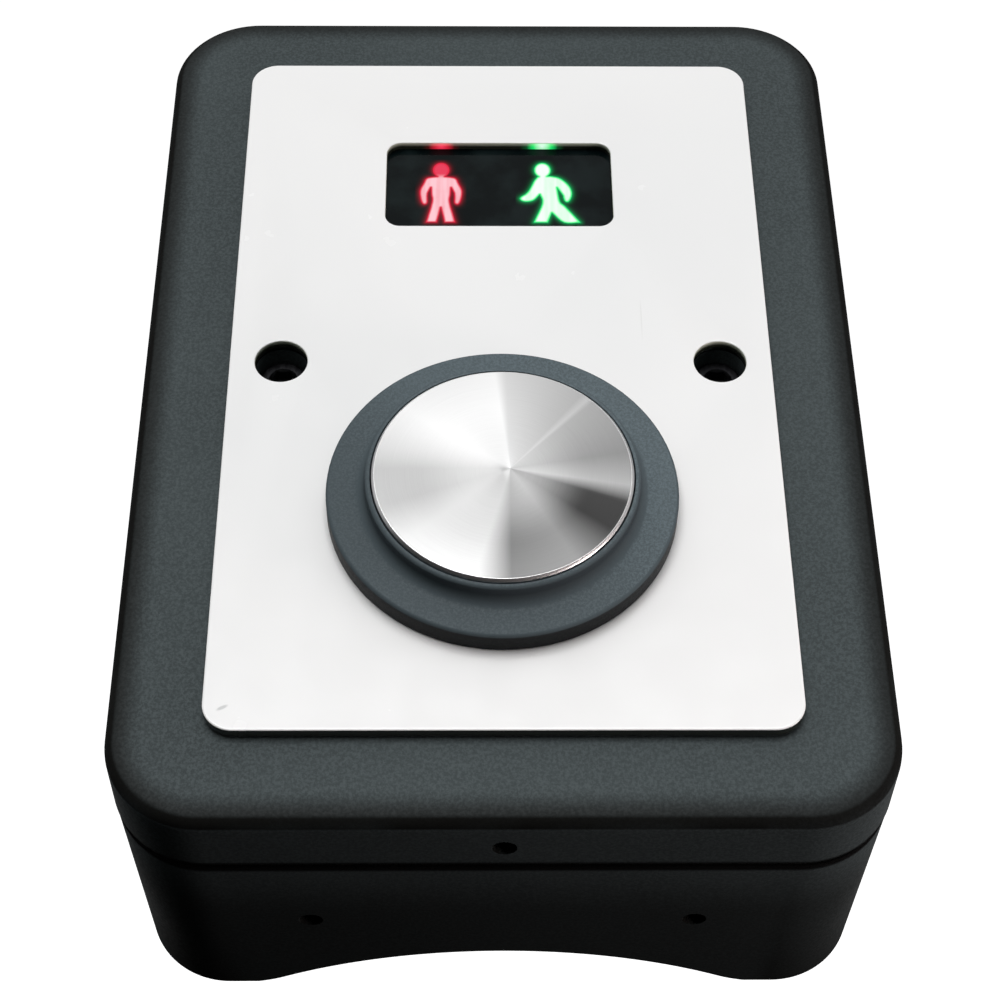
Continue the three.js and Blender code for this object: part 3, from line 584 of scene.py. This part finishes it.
def circuit_board(name):
    """Green solder mask over copper tracks, which show as paler lines on a grid."""
    f = Finish(name, 0.35, Coat_Weight=0.3)
    cells = f.add("TexBrick", 1, Vector=f.add("Mapping", Vector=f.place, Rotation=(math.pi / 2, 0, 0)),
                  **{"Scale": 120.0, "Mortar Size": 0.08, "Mortar Smooth": 0.2})
    broken = f.math("MULTIPLY", cells, f.spread(f.noise(70, 2), 0.4, 0.6))
    f.colour(f.mix(broken, (0.012, 0.1, 0.04), (0.03, 0.2, 0.08)))
    f.rough(f.spread(f.noise(300, 2), 0.3, 0.7, 0.28, 0.42))
    f.bump(broken, 0.02, 0.4)
    return f.material


def smoked_lens(name):
    """Black acrylic that lights up a little round each lit figure."""
    f = Finish(name, 0.1, Specular_IOR_Level=0.1)
    haze = f.noise(130, 3)
    f.colour(f.mix(f.spread(haze, 0.35, 0.7), (0.001, 0.003, 0.0035), (0.006, 0.011, 0.0115)))
    f.rough(f.spread(haze, 0.3, 0.8, 0.06, 0.16))
    red = f.add("Attribute", 2, {"attribute_name": "red_glow"})
    green = f.add("Attribute", 2, {"attribute_name": "green_glow"})
    red = f.mix(red, (0, 0, 0), (0.4, 0.004, 0.02))
    green = f.mix(green, (0, 0, 0), (0.0, 0.4, 0.1))
    f.glow(f.mix(1.0, red, green, "ADD"))
    return f.material


def lit_figure(name, rim, core, head):
    """A light guide, saturated at its rim and nearly white inside, over faint vertical light pipes."""
    f = Finish(name, 0.4, Specular_IOR_Level=0.1)
    depth = f.add("Attribute", 2, {"attribute_name": "depth"})
    uneven = f.math("MULTIPLY_ADD", f.noise(420, 2), 0.24, -0.12)
    pipes = f.noise(900, 1, 0.4, f.add("Mapping", Vector=f.place, Scale=(1, 1, 0.05)))
    inside = f.math("ADD", f.spread(depth, 0.1, 1.0), uneven)
    core = f.mix(f.spread(pipes, 0.35, 0.7, 0.0, 0.2), core, rim)
    neck = f.spread(f.axis(f.place, 2), (WINDOW_Y + 3.4) * MM, (WINDOW_Y + 5.2) * MM)
    core = f.mix(neck, core, head)
    f.colour(f.mix(depth, (0.004, 0.004, 0.004), (0.012, 0.012, 0.012)))
    f.rough(f.spread(pipes, 0.3, 0.7, 0.34, 0.46))
    f.glow(f.mix(inside, rim, core))
    return f.material


RED_RIM, RED_CORE, RED_HEAD = (0.75, 0.008, 0.045), (1.0, 0.58, 0.64), (0.8, 0.035, 0.09)
GREEN_RIM, GREEN_CORE = (0.03, 0.95, 0.22), (0.93, 1.0, 0.96)
# COAT and COLLAR are the coats' colours; the second colour on each line is painted shade for rounded edges,
# and the collar's third is painted shade for its sides.
COAT, COAT_EDGE_SHADE = (0.048, 0.06, 0.0625), (0.003, 0.003, 0.0025)
COLLAR, COLLAR_EDGE_SHADE, COLLAR_SIDE_SHADE = (0.088, 0.113, 0.125), (0.07, 0.09, 0.1), (0.055, 0.07, 0.08)

FINISHES = {
    "powder_coat": coat("powder_coat", COAT, COAT_EDGE_SHADE, None),
    "collar_coat": coat("collar_coat", COLLAR, COLLAR_EDGE_SHADE, COLLAR_SIDE_SHADE, 0.8, 0.5),
    "white_gloss": painted_plate("white_gloss"),
    "black_rubber": rubber("black_rubber", (0.012, 0.012, 0.012)),
    "black_steel": metal("black_steel", (0.03, 0.03, 0.033), 0.38),
    "spun_steel": spun_steel("spun_steel"),
    "plain_steel": metal("plain_steel", (0.52, 0.53, 0.54)),
    "bronze": metal("bronze", (0.5, 0.3, 0.12), 0.4),
    "brass": metal("brass", (0.6, 0.43, 0.15), 0.34),
    "smoked_acrylic": smoked_lens("smoked_acrylic"),
    "black_plastic": plastic("black_plastic", (0.015, 0.015, 0.016), 0.5),
    "white_plastic": plastic("white_plastic", (0.78, 0.77, 0.72)),
    "green_plastic": plastic("green_plastic", (0.03, 0.2, 0.08)),
    "circuit_board": circuit_board("circuit_board"),
    "nylon": plastic("nylon", (0.68, 0.65, 0.56), 0.55),
    "red_light": lit_figure("red_light", RED_RIM, RED_CORE, RED_HEAD),
    "green_light": lit_figure("green_light", GREEN_RIM, GREEN_CORE, GREEN_CORE),
}

for row in frame["record"]["subparts"]:
    node = frame["nodes"][row["node"]]
    node.data.materials.clear()
    node.data.materials.append(FINISHES[row["material_slot"]])


# ---------- enclosure ----------

COVER_INNER = COVER_FRONT - 5
SCREW_SEAT = COVER_FRONT - 9.8
LENS_PLACE = (0, WINDOW_Y)
THROUGH = 1  # how far a cutting tool runs past a face
SIDES = (-1, 1)
CORNERS = [(sx, sy) for sx in SIDES for sy in SIDES]
COVER_BOSS_R, HOUSING_BOSS_R = 9, 8
SCREW_WELL_R, SHANK_BORE_R, INSERT_BORE_R = 5.6, 3.4, 4.3
PILOT_R = 1.6  # the holes for the small screws
DISPLAY_POSTS = [(sx * 30, WINDOW_Y + sy * 18) for sx, sy in CORNERS]
DISPLAY_POST_R, DISPLAY_POST_END = 3.5, 52
DISPLAY_OPENING = rounded_rectangle(47, 23, 3)
LENS_GAP = 0.3  # round the lens in its pocket
BOARD_Y = 50
BOARD_POSTS = [(sx * 42, BOARD_Y + sy * 28) for sx, sy in CORNERS]
BOARD_POST_R, BOARD_POST_END = 4, 29.7
EARTH_X, EARTH_Y, EARTH_BOSS_R, EARTH_BOSS_END = -52, -62, 5, 24


def front_cover():
    shell = rounded_slab(body_outline, COVER_REAR, COVER_FRONT, EDGE_R, SEAM_R, 10)
    shell = combined(shell, [prism(body_outline(WALL), COVER_REAR - THROUGH, COVER_INNER)])
    bosses = [rod(COVER_BOSS_R, COVER_REAR, COVER_INNER + THROUGH, side * SCREW_X) for side in SIDES]
    posts = [rod(DISPLAY_POST_R, DISPLAY_POST_END, COVER_INNER + THROUGH, *at, 32) for at in DISPLAY_POSTS]
    shell = combined(shell, bosses + posts, "UNION")
    pilots = [rod(PILOT_R, DISPLAY_POST_END - THROUGH, DISPLAY_POST_END + 9, *at, 20) for at in DISPLAY_POSTS]
    cuts = []
    for side, nearby in zip(SIDES, (pilots[:2], pilots[2:])):
        x = side * SCREW_X
        cuts.append(hole(lambda grow: circle(SCREW_WELL_R + grow), SCREW_SEAT + THROUGH, COVER_FRONT, x))
        cuts.append(rod(SHANK_BORE_R, COVER_REAR - THROUGH, SCREW_SEAT + THROUGH, x, 0, 32))
        cuts += nearby
    pocket = rounded_rectangle(LENS_W + 2 * LENS_GAP, LENS_H + 2 * LENS_GAP, LENS_R + LENS_GAP)
    cuts.append(prism(pocket, lens_low.z - 0.9, COVER_FRONT + 5, *LENS_PLACE))
    cuts.append(prism(DISPLAY_OPENING, COVER_INNER - THROUGH, lens_low.z, *LENS_PLACE))
    cuts.append(rod(BARREL_R + FEED_THROUGH_R, COVER_INNER - THROUGH, COVER_FRONT + 5, 0, BUTTON_Y, 96))
    cuts.append(upright_rod(DRAIN_R, -BODY_H / 2 - THROUGH, -BODY_H / 2 + 8, 0, PLATE_FRONT - 12))
    return combined(shell, cuts)


POLE_Z = SADDLE_TOP - POLE_R


def saddle(r):
    return upright_rod(r, -BODY_H, BODY_H, 0, POLE_Z, 360)


def pole_space():
    """The space behind the housing that the pole fills, with rounded edges at the rear lands."""
    ease_z = REAR + SADDLE_EASE_R
    ease_x = math.sqrt((POLE_R + SADDLE_EASE_R) ** 2 - (ease_z - POLE_Z) ** 2)
    lean = math.degrees(math.atan2(ease_x, ease_z - POLE_Z))
    right = [Vector((ease_x, REAR - 5))]
    for a in arc(-90, -90 - lean, 10):
        right.append(Vector((ease_x + SADDLE_EASE_R * math.cos(a), ease_z + SADDLE_EASE_R * math.sin(a))))
    for a in arc(90 - lean, 90, 40)[1:]:
        right.append(Vector((POLE_R * math.cos(a), POLE_Z + POLE_R * math.sin(a))))
    left = [Vector((-p.x, p.y)) for p in reversed(right[:-1])]
    mesh = prism(right + left, -BODY_H, BODY_H)
    mesh.transform(Matrix.Rotation(math.pi / 2, 4, "X"))
    return mesh


POLE_SCREW_Y, POLE_SCREW_R = 94, 4.5
CABLE_HOLE_R, GROMMET_SEAT_R = 9, 11.6
DRAIN_X, DRAIN_Z = 37.7, 33.7
INSERT_Z = 42
FLOOR_CLEAR_Z = 40  # in front of all that stands on the housing's floor, bar the screw bosses


def rear_housing():
    sections = [(body_outline(DRAFT + KEEP_FLAT * REAR_EDGE_R), REAR)]
    for a in arc(90, 20, 6):
        inset = DRAFT + REAR_EDGE_R * (1 - math.cos(a))
        sections.append((body_outline(inset), REAR + REAR_EDGE_R * (1 - math.sin(a))))
    for a in arc(0, 90, 6):
        inset = 0.2 + SEAM_R * (1 - math.cos(a))
        sections.append((body_outline(inset), HOUSING_FRONT - SEAM_R * (1 - math.sin(a))))
    sections.append((body_outline(3.2), HOUSING_FRONT))
    shell = loft(sections)
    floor_z = REAR + WALL
    room = loft([
        (body_outline(WALL + DRAFT), floor_z),
        (body_outline(WALL + 0.4), HOUSING_FRONT + THROUGH),
    ])
    shell = combined(shell, [pole_space(), combined(room, [saddle(POLE_R + SADDLE_WALL)])])
    foot_z = floor_z - THROUGH
    bosses = [rod(HOUSING_BOSS_R, foot_z, HOUSING_FRONT, side * SCREW_X) for side in SIDES]
    bosses += [rod(BOARD_POST_R, foot_z, BOARD_POST_END, *place, 32) for place in BOARD_POSTS]
    bosses.append(rod(EARTH_BOSS_R, foot_z, EARTH_BOSS_END, EARTH_X, EARTH_Y, 32))
    shell = combined(shell, [combined(boss, [saddle(POLE_R + 2)]) for boss in bosses], "UNION")
    cuts = [rod(EARTH_BOSS_R / 2, EARTH_BOSS_END - 12, FLOOR_CLEAR_Z, EARTH_X, EARTH_Y, 24)]
    cuts += [rod(PILOT_R, 21, FLOOR_CLEAR_Z, *place, 20) for place in BOARD_POSTS]
    for side in SIDES:
        cuts.append(rod(INSERT_BORE_R, INSERT_Z, HOUSING_FRONT + 5, side * SCREW_X, 0, 32))
        cuts.append(upright_rod(DRAIN_R, -BODY_H / 2 - THROUGH, -BODY_H / 2 + 9, side * DRAIN_X, DRAIN_Z))
        cuts.append(rod(POLE_SCREW_R, 0, FLOOR_CLEAR_Z, 0, side * POLE_SCREW_Y))
    cuts.append(rod(CABLE_HOLE_R, 0, FLOOR_CLEAR_Z, 0, CABLE_Y))
    cuts.append(rod(GROMMET_SEAT_R, 0, grommet_low.z + 2.1, 0, CABLE_Y, 64))
    return combined(shell, cuts)


def face_sheet():
    def outline_at(inset):
        return rounded_rectangle(PLATE_W - 2 * inset, PLATE_H - 2 * inset, PLATE_R - inset)

    def window_at(grow):
        return rounded_rectangle(WINDOW_W + 2 * grow, WINDOW_H + 2 * grow, WINDOW_R + grow)

    sheet = rounded_slab(outline_at, PLATE_REAR, PLATE_FRONT, 0.35, 0.12, 4)
    cuts = [
        hole(window_at, PLATE_REAR, PLATE_FRONT, *LENS_PLACE),
        rod(BARREL_R + FEED_THROUGH_R, PLATE_REAR - THROUGH, PLATE_FRONT + THROUGH, 0, BUTTON_Y, 96),
    ]
    for side in SIDES:
        x = side * SCREW_X
        cuts.append(hole(lambda grow: circle(SCREW_HOLE_R + grow), PLATE_REAR, PLATE_FRONT, x))
    return combined(sheet, cuts)


def under_sheet():
    w, h = width_height(gasket_low, gasket_high)
    inset = 0.8
    sheet = prism(rounded_rectangle(w, h, PLATE_R - inset), gasket_low.z, gasket_high.z)
    z0, z1 = gasket_low.z - THROUGH, gasket_high.z + THROUGH
    window = rounded_rectangle(LENS_W + 2 * inset, LENS_H + 2 * inset, LENS_R + inset)
    cuts = [
        prism(window, z0, z1, *LENS_PLACE),
        rod(BARREL_R + 2 * FEED_THROUGH_R, z0, z1, 0, BUTTON_Y, 96),
        *(rod(SCREW_HOLE_R + 0.7, z0, z1, side * SCREW_X) for side in SIDES),
    ]
    return combined(sheet, cuts)


def groove_seal():
    inset = (BODY_W - (seal_high.x - seal_low.x)) / 2
    ring = prism(body_outline(inset), seal_low.z, seal_high.z)
    inner = body_outline(WALL + 0.2)
    return combined(ring, [prism(inner, seal_low.z - THROUGH, seal_high.z + THROUGH)])


def socket_screw(x):
    """A socket-head screw: a turned blank with a hexagonal socket whose mouth is chamfered."""
    shank, socket_r, socket_depth = 2.7, 2.9, 3
    mouth_r, mouth_depth = 3.05, 0.75
    seat, top = SCREW_SEAT + 1.1, screw_high.z
    blank = turned(
        softened([
            (0, screw_low.z, 0), (shank, screw_low.z, 0.6), (shank, seat, 0.1), (SCREW_R, seat, 0.15),
            (SCREW_R, top, 0.6), (0, top, 0),
        ]), x, 0, 64)
    socket = prism(circle(socket_r, 6), top - socket_depth, top + THROUGH, x)
    wide = circle(mouth_r, 48)
    narrow = circle(mouth_r - mouth_depth, 48)
    mouth = loft([(narrow, top - mouth_depth), (wide, top), (wide, top + THROUGH)], x)
    return combined(blank, [socket, mouth])


piece("cover_shell", front_cover(), "housing", "front_cover", "powder_coat")
piece("housing_shell", rear_housing(), "housing", "rear_housing", "powder_coat")
piece("groove_seal", groove_seal(), "housing", "cover_gasket", "black_rubber")
piece("face_sheet", face_sheet(), "housing", "face_plate", "white_gloss")
piece("under_sheet", under_sheet(), "housing", "plate_gasket", "black_rubber")
for side, x in (("left", -SCREW_X), ("right", SCREW_X)):
    piece(f"socket_screw_{side}", socket_screw(x), "housing", f"cover_screw_{side}", "black_steel")

flange_z, snap_z = grommet_low.z + 1.8, grommet_high.z - 2.4
CABLE_R, NECK_R = 5, 8.7
grommet = turned(
    softened([
        (CABLE_R, grommet_low.z, 0.6), (11, grommet_low.z, 0.5), (11, flange_z, 0.3), (NECK_R, flange_z, 0.2),
        (NECK_R, snap_z, 0.2), (11.5, snap_z + 0.2, 0.6), (10.5, grommet_high.z, 0.8),
        (CABLE_R, grommet_high.z, 0.6),
    ]), 0, CABLE_Y, 96)
piece("rubber_grommet", grommet, "housing", "cable_grommet", "black_rubber")


# ---------- push button ----------

BOSS_R = 27.2
WELL_R, WELL_Z = CAP_R + 0.3, 79.6
SPRING_WELL_R, SPRING_SEAT_Z = 14, 60
BUSH_BORE = 8.3
under, front = PLATE_FRONT + 0.1, PLATE_FRONT + 5
GROOVE_INNER, GROOVE_OUTER, GROOVE_Z = 29.2, 31.8, PLATE_FRONT + 2.3
collar = turned(
    softened([
        (BUSH_BORE, collar_low.z, 0.2), (BARREL_R, collar_low.z, 0.6), (BARREL_R, under, 0.1),
        (GROOVE_INNER, under, 0), (GROOVE_INNER, GROOVE_Z, 0), (GROOVE_OUTER, GROOVE_Z, 0),
        (GROOVE_OUTER, under, 0), (FLANGE_R, under, 0.3), (FLANGE_R, front, 0.8),
        (BOSS_R, front, 2.6), (BOSS_R, collar_high.z, 0.75), (WELL_R, collar_high.z, 0.1),
        (WELL_R, WELL_Z, 0.3), (SPRING_WELL_R, WELL_Z, 0.3), (SPRING_WELL_R, SPRING_SEAT_Z, 0.2),
        (BUSH_BORE, SPRING_SEAT_Z, 0.2),
    ]), 0, BUTTON_Y, 192)
piece("collar_ring", collar, "housing", "button_collar", "collar_coat")

SKIRT_Z, SKIRT_R = 82.4, CAP_R - 1.6
UNDERSIDE_Z = 84.2
SPIGOT_R, SPIGOT_BORE, BORE_END_Z = 7.2, 5.3, 84
disc = turned(
    softened([
        (CAP_R, SKIRT_Z, 0.2), (CAP_R, CAP_FRONT - BEVEL, 0.12), (CAP_R - BEVEL, CAP_FRONT, 0.1),
        (0, CAP_FRONT, 0), (0, BORE_END_Z, 0), (SPIGOT_BORE, BORE_END_Z, 0), (SPIGOT_BORE, cap_low.z, 0),
        (SPIGOT_R, cap_low.z, 0.3), (SPIGOT_R, UNDERSIDE_Z, 0.5), (SKIRT_R, UNDERSIDE_Z, 0.3),
        (SKIRT_R, SKIRT_Z, 0.2),
    ], 3), 0, BUTTON_Y, 256)
piece("push_disc", disc, "button", "push_cap", "spun_steel")


def spring_coil():
    """A round wire wound from the barrel's shoulder to the back of the disc, with flat cut ends."""
    turns, wire_r, around, steps = 5.5, 0.8, 12, 220
    mean = spring_high.x - wire_r
    low, high = spring_low.z + wire_r, spring_high.z - wire_r
    points = []
    for k in range(steps + 1):
        t = k / steps
        a = t * turns * math.tau
        out = Vector((math.cos(a), math.sin(a), 0))
        centre = out * mean + Vector((0, BUTTON_Y, low + (high - low) * t))
        points += [centre + out * (wire_r * p.x) + Vector((0, 0, wire_r * p.y)) for p in circle(1, around)]
    return skinned(points, around)


coil = piece("spring_coil", spring_coil(), "housing", "return_spring", "plain_steel")
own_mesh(coil)


# ---------- lit figures in the lens ----------


def front_outline(node):
    """The outline of a node's front face, with its round stretches made finer by a spline."""
    mesh = frame["nodes"][node].data
    links = {}
    for polygon in mesh.polygons:
        if polygon.normal.y > -0.9:
            continue
        corners = [mesh.vertices[i].co for i in polygon.vertices]
        corners = [(round(c.x / MM, 3), round(c.z / MM, 3)) for c in corners]
        for a, b in zip(corners, corners[1:] + corners[:1]):
            if links.pop((b, a), None) is None:
                links[(a, b)] = True
    following = dict(links.keys())
    loop = [next(iter(following))]
    while following[loop[-1]] != loop[0]:
        loop.append(following[loop[-1]])
    loop = [Vector(p) for p in loop]
    n = len(loop)

    def is_corner(i):
        before, after = loop[i] - loop[i - 1], loop[(i + 1) % n] - loop[i]
        return before.angle(after) > math.radians(50)

    points = []
    for i in range(n):
        p0, p1, p2, p3 = (loop[(i + k) % n] for k in (-1, 0, 1, 2))
        t1 = (p2 - p1) if is_corner(i) else (p2 - p0) / 2
        t2 = (p2 - p1) if is_corner((i + 1) % n) else (p3 - p1) / 2
        for k in range(4):
            t = k / 4
            points.append(
                p1 * (2 * t**3 - 3 * t**2 + 1) + t1 * (t**3 - 2 * t**2 + t)
                + p2 * (3 * t**2 - 2 * t**3) + t2 * (t**3 - t**2)
            )
    return points


GRID_PITCH = 0.3


def distance_to(outline, x, y):
    """How far a point is from an outline."""
    best = 1e9
    for a, b in zip(outline, outline[1:] + outline[:1]):
        near, t = intersect_point_line(Vector((x, y)), a, b)
        near = a if t < 0 else b if t > 1 else near
        best = min(best, math.hypot(near.x - x, near.y - y))
    return best


def even_steps(low, high):
    """Places from low to high, about GRID_PITCH apart."""
    steps = math.ceil((high - low) / GRID_PITCH)
    return [low + (high - low) * i / steps for i in range(steps + 1)]


def gridded_slab(x0, y0, x1, y1, z0, z1):
    """A slab whose faces are cut into small squares, so that its vertices can carry a pattern."""
    across, up = even_steps(x0, x1), even_steps(y0, y1)
    n, rows = len(across), len(up)
    points = [(x, y, z0) for y in up for x in across] + [(x, y, z1) for y in up for x in across]
    faces = []
    level = n * rows
    for r in range(rows - 1):
        for c in range(n - 1):
            a = r * n + c
            faces.append((a, a + n, a + n + 1, a + 1))
            faces.append((level + a, level + a + 1, level + a + n + 1, level + a + n))
    edge = [r * n for r in range(rows)][::-1] + list(range(n))[1:]
    edge += [r * n + n - 1 for r in range(1, rows)] + [(rows - 1) * n + c for c in range(n - 1)][::-1][:-1]
    for a, b in zip(edge, edge[1:] + edge[:1]):
        faces.append((a, b, level + b, level + a))
    return mesh_from(points, faces)


def paint(mesh, name, value_at):
    """Stores value_at(x, y) at each vertex."""
    values = [value_at(v.co.x, v.co.y) for v in mesh.vertices]
    mesh.attributes.new(name, "FLOAT", "POINT").data.foreach_set("value", values)


def falloff(outline, reach):
    """A value that is 1 at the outline and fades away from it."""
    low_x, high_x = min(p.x for p in outline), max(p.x for p in outline)
    low_y, high_y = min(p.y for p in outline), max(p.y for p in outline)

    def value_at(x, y):
        beyond = max(low_x - x, x - high_x, low_y - y, y - high_y)
        return 0.0 if beyond > 3 * reach else math.exp(-distance_to(outline, x, y) / reach)

    return value_at


GLOW_REACH = 0.33
RIM = 0.6  # how far in from a figure's outline its light is saturated
figures = {colour: front_outline(f"{colour}_figure") for colour in ("red", "green")}
lens = gridded_slab(*lens_low.xy, *lens_high.xy, lens_low.z, lens_high.z)
z0, z1 = lens_low.z - 5, lens_high.z + 5
lens = combined(lens, [prism(rounded_rectangle(LENS_W, LENS_H, LENS_R), z0, z1, *LENS_PLACE)], "INTERSECT")
lens = combined(lens, [prism(outline, z0, z1) for outline in figures.values()])
for colour, outline in figures.items():
    paint(lens, f"{colour}_glow", falloff(outline, GLOW_REACH))
piece("lens_panel", lens, "housing", "window_lens", "smoked_acrylic")

for colour, outline in figures.items():
    low, high = face_box(f"{colour}_figure")
    sheet = gridded_slab(low.x - 1, low.y - 1, high.x + 1, high.y + 1, low.z, high.z)
    guide = combined(sheet, [prism(outline, z0, z1)], "INTERSECT")
    paint(guide, "depth", lambda x, y: min(distance_to(outline, x, y) / RIM, 1.0))
    piece(f"{colour}_man", guide, "housing", f"{colour}_figure", f"{colour}_light")


# ---------- studio ----------

FLOOR_Z = -1.1
COVE_R = 5.0


def cove():
    """A pale floor that curves up into a wall and a ceiling all round the unit, seen from inside."""
    curve_r = COVE_R / 2
    profile = [Vector((0, FLOOR_Z)), Vector((curve_r, FLOOR_Z))]
    for a in arc(-80, 80, 16):
        profile.append(Vector((curve_r * (1 + math.cos(a)), FLOOR_Z + curve_r * (1 + math.sin(a)))))
    profile += [Vector((curve_r, FLOOR_Z + COVE_R)), Vector((0, FLOOR_Z + COVE_R))]
    return turned(profile, 0, 0, 64)


floor = bpy.data.objects.new("floor", cove())
pale = Finish("floor", 0.8)
tint = pale.mix(pale.spread(pale.noise(3, 2), 0.3, 0.7), (1.0, 1.0, 1.0), (0.97, 0.97, 0.97))
pale.colour(tint)
pale.glow(tint)
floor.data.materials.append(pale.material)
floor.data.polygons.foreach_set("use_smooth", [True] * len(floor.data.polygons))
bpy.context.scene.collection.objects.link(floor)
floor.visible_diffuse = False
floor.visible_glossy = False
floor.visible_shadow = False


UNIT_MIDDLE = Vector((0, -0.05, 0))


def softbox(name, at, size, power, colour=(1.0, 1.0, 1.0)):
    """A square area light that faces the unit."""
    light = bpy.data.lights.new(name, "AREA")
    light.size = size
    light.energy = power
    light.color = colour
    obj = bpy.data.objects.new(name, light)
    obj.location = at
    obj.rotation_euler = (UNIT_MIDDLE - Vector(at)).to_track_quat("-Z", "Y").to_euler()
    obj.visible_camera = False
    bpy.context.scene.collection.objects.link(obj)


softbox("front", (-0.15, -2.0, 0.3), 1.2, 26.5)
softbox("low_right", (0.36, -0.13, -0.24), 0.15, 0.7, (1.0, 0.88, 0.86))

world = bpy.data.worlds.new("studio")
bpy.context.scene.world = world
world.use_nodes = True
tree = world.node_tree

# Bright in front and above, dim behind and dark below.
direction = add_node(tree, "TexCoord", "Generated")
front_back = eased(tree, add_node(tree, "SeparateXYZ", 1, Vector=direction), -0.6, 0.1, 0.8, 0.3)
height = eased(tree, add_node(tree, "SeparateXYZ", 2, Vector=direction), 0.0, 0.25, 0.0, 1.0)
level = add_node(tree, "MapRange", **{"Value": height, "To Min": 0.002, "To Max": front_back})
background = next(n for n in tree.nodes if n.type == "BACKGROUND")
tree.links.new(level, background.inputs["Strength"])
background.inputs["Color"].default_value = (1, 1, 1, 1)

# The camera is below the unit and looks up at its face.
CAMERA_AT = (-0.00612, -0.44259, -0.30765)
LOOK_UP = 0.635
LOOK_RIGHT = 0.0124
camera = bpy.data.objects.new("camera", bpy.data.cameras.new("camera"))
camera.data.lens = 82.5
camera.data.sensor_width = 36
camera.matrix_world = (
    Matrix.Translation(CAMERA_AT)
    @ Matrix.Rotation(math.pi / 2 + LOOK_UP, 4, "X")
    @ Matrix.Rotation(-LOOK_RIGHT, 4, "Y")
)
bpy.context.scene.collection.objects.link(camera)
bpy.context.scene.camera = camera
bpy.context.scene.view_settings.view_transform = "Standard"
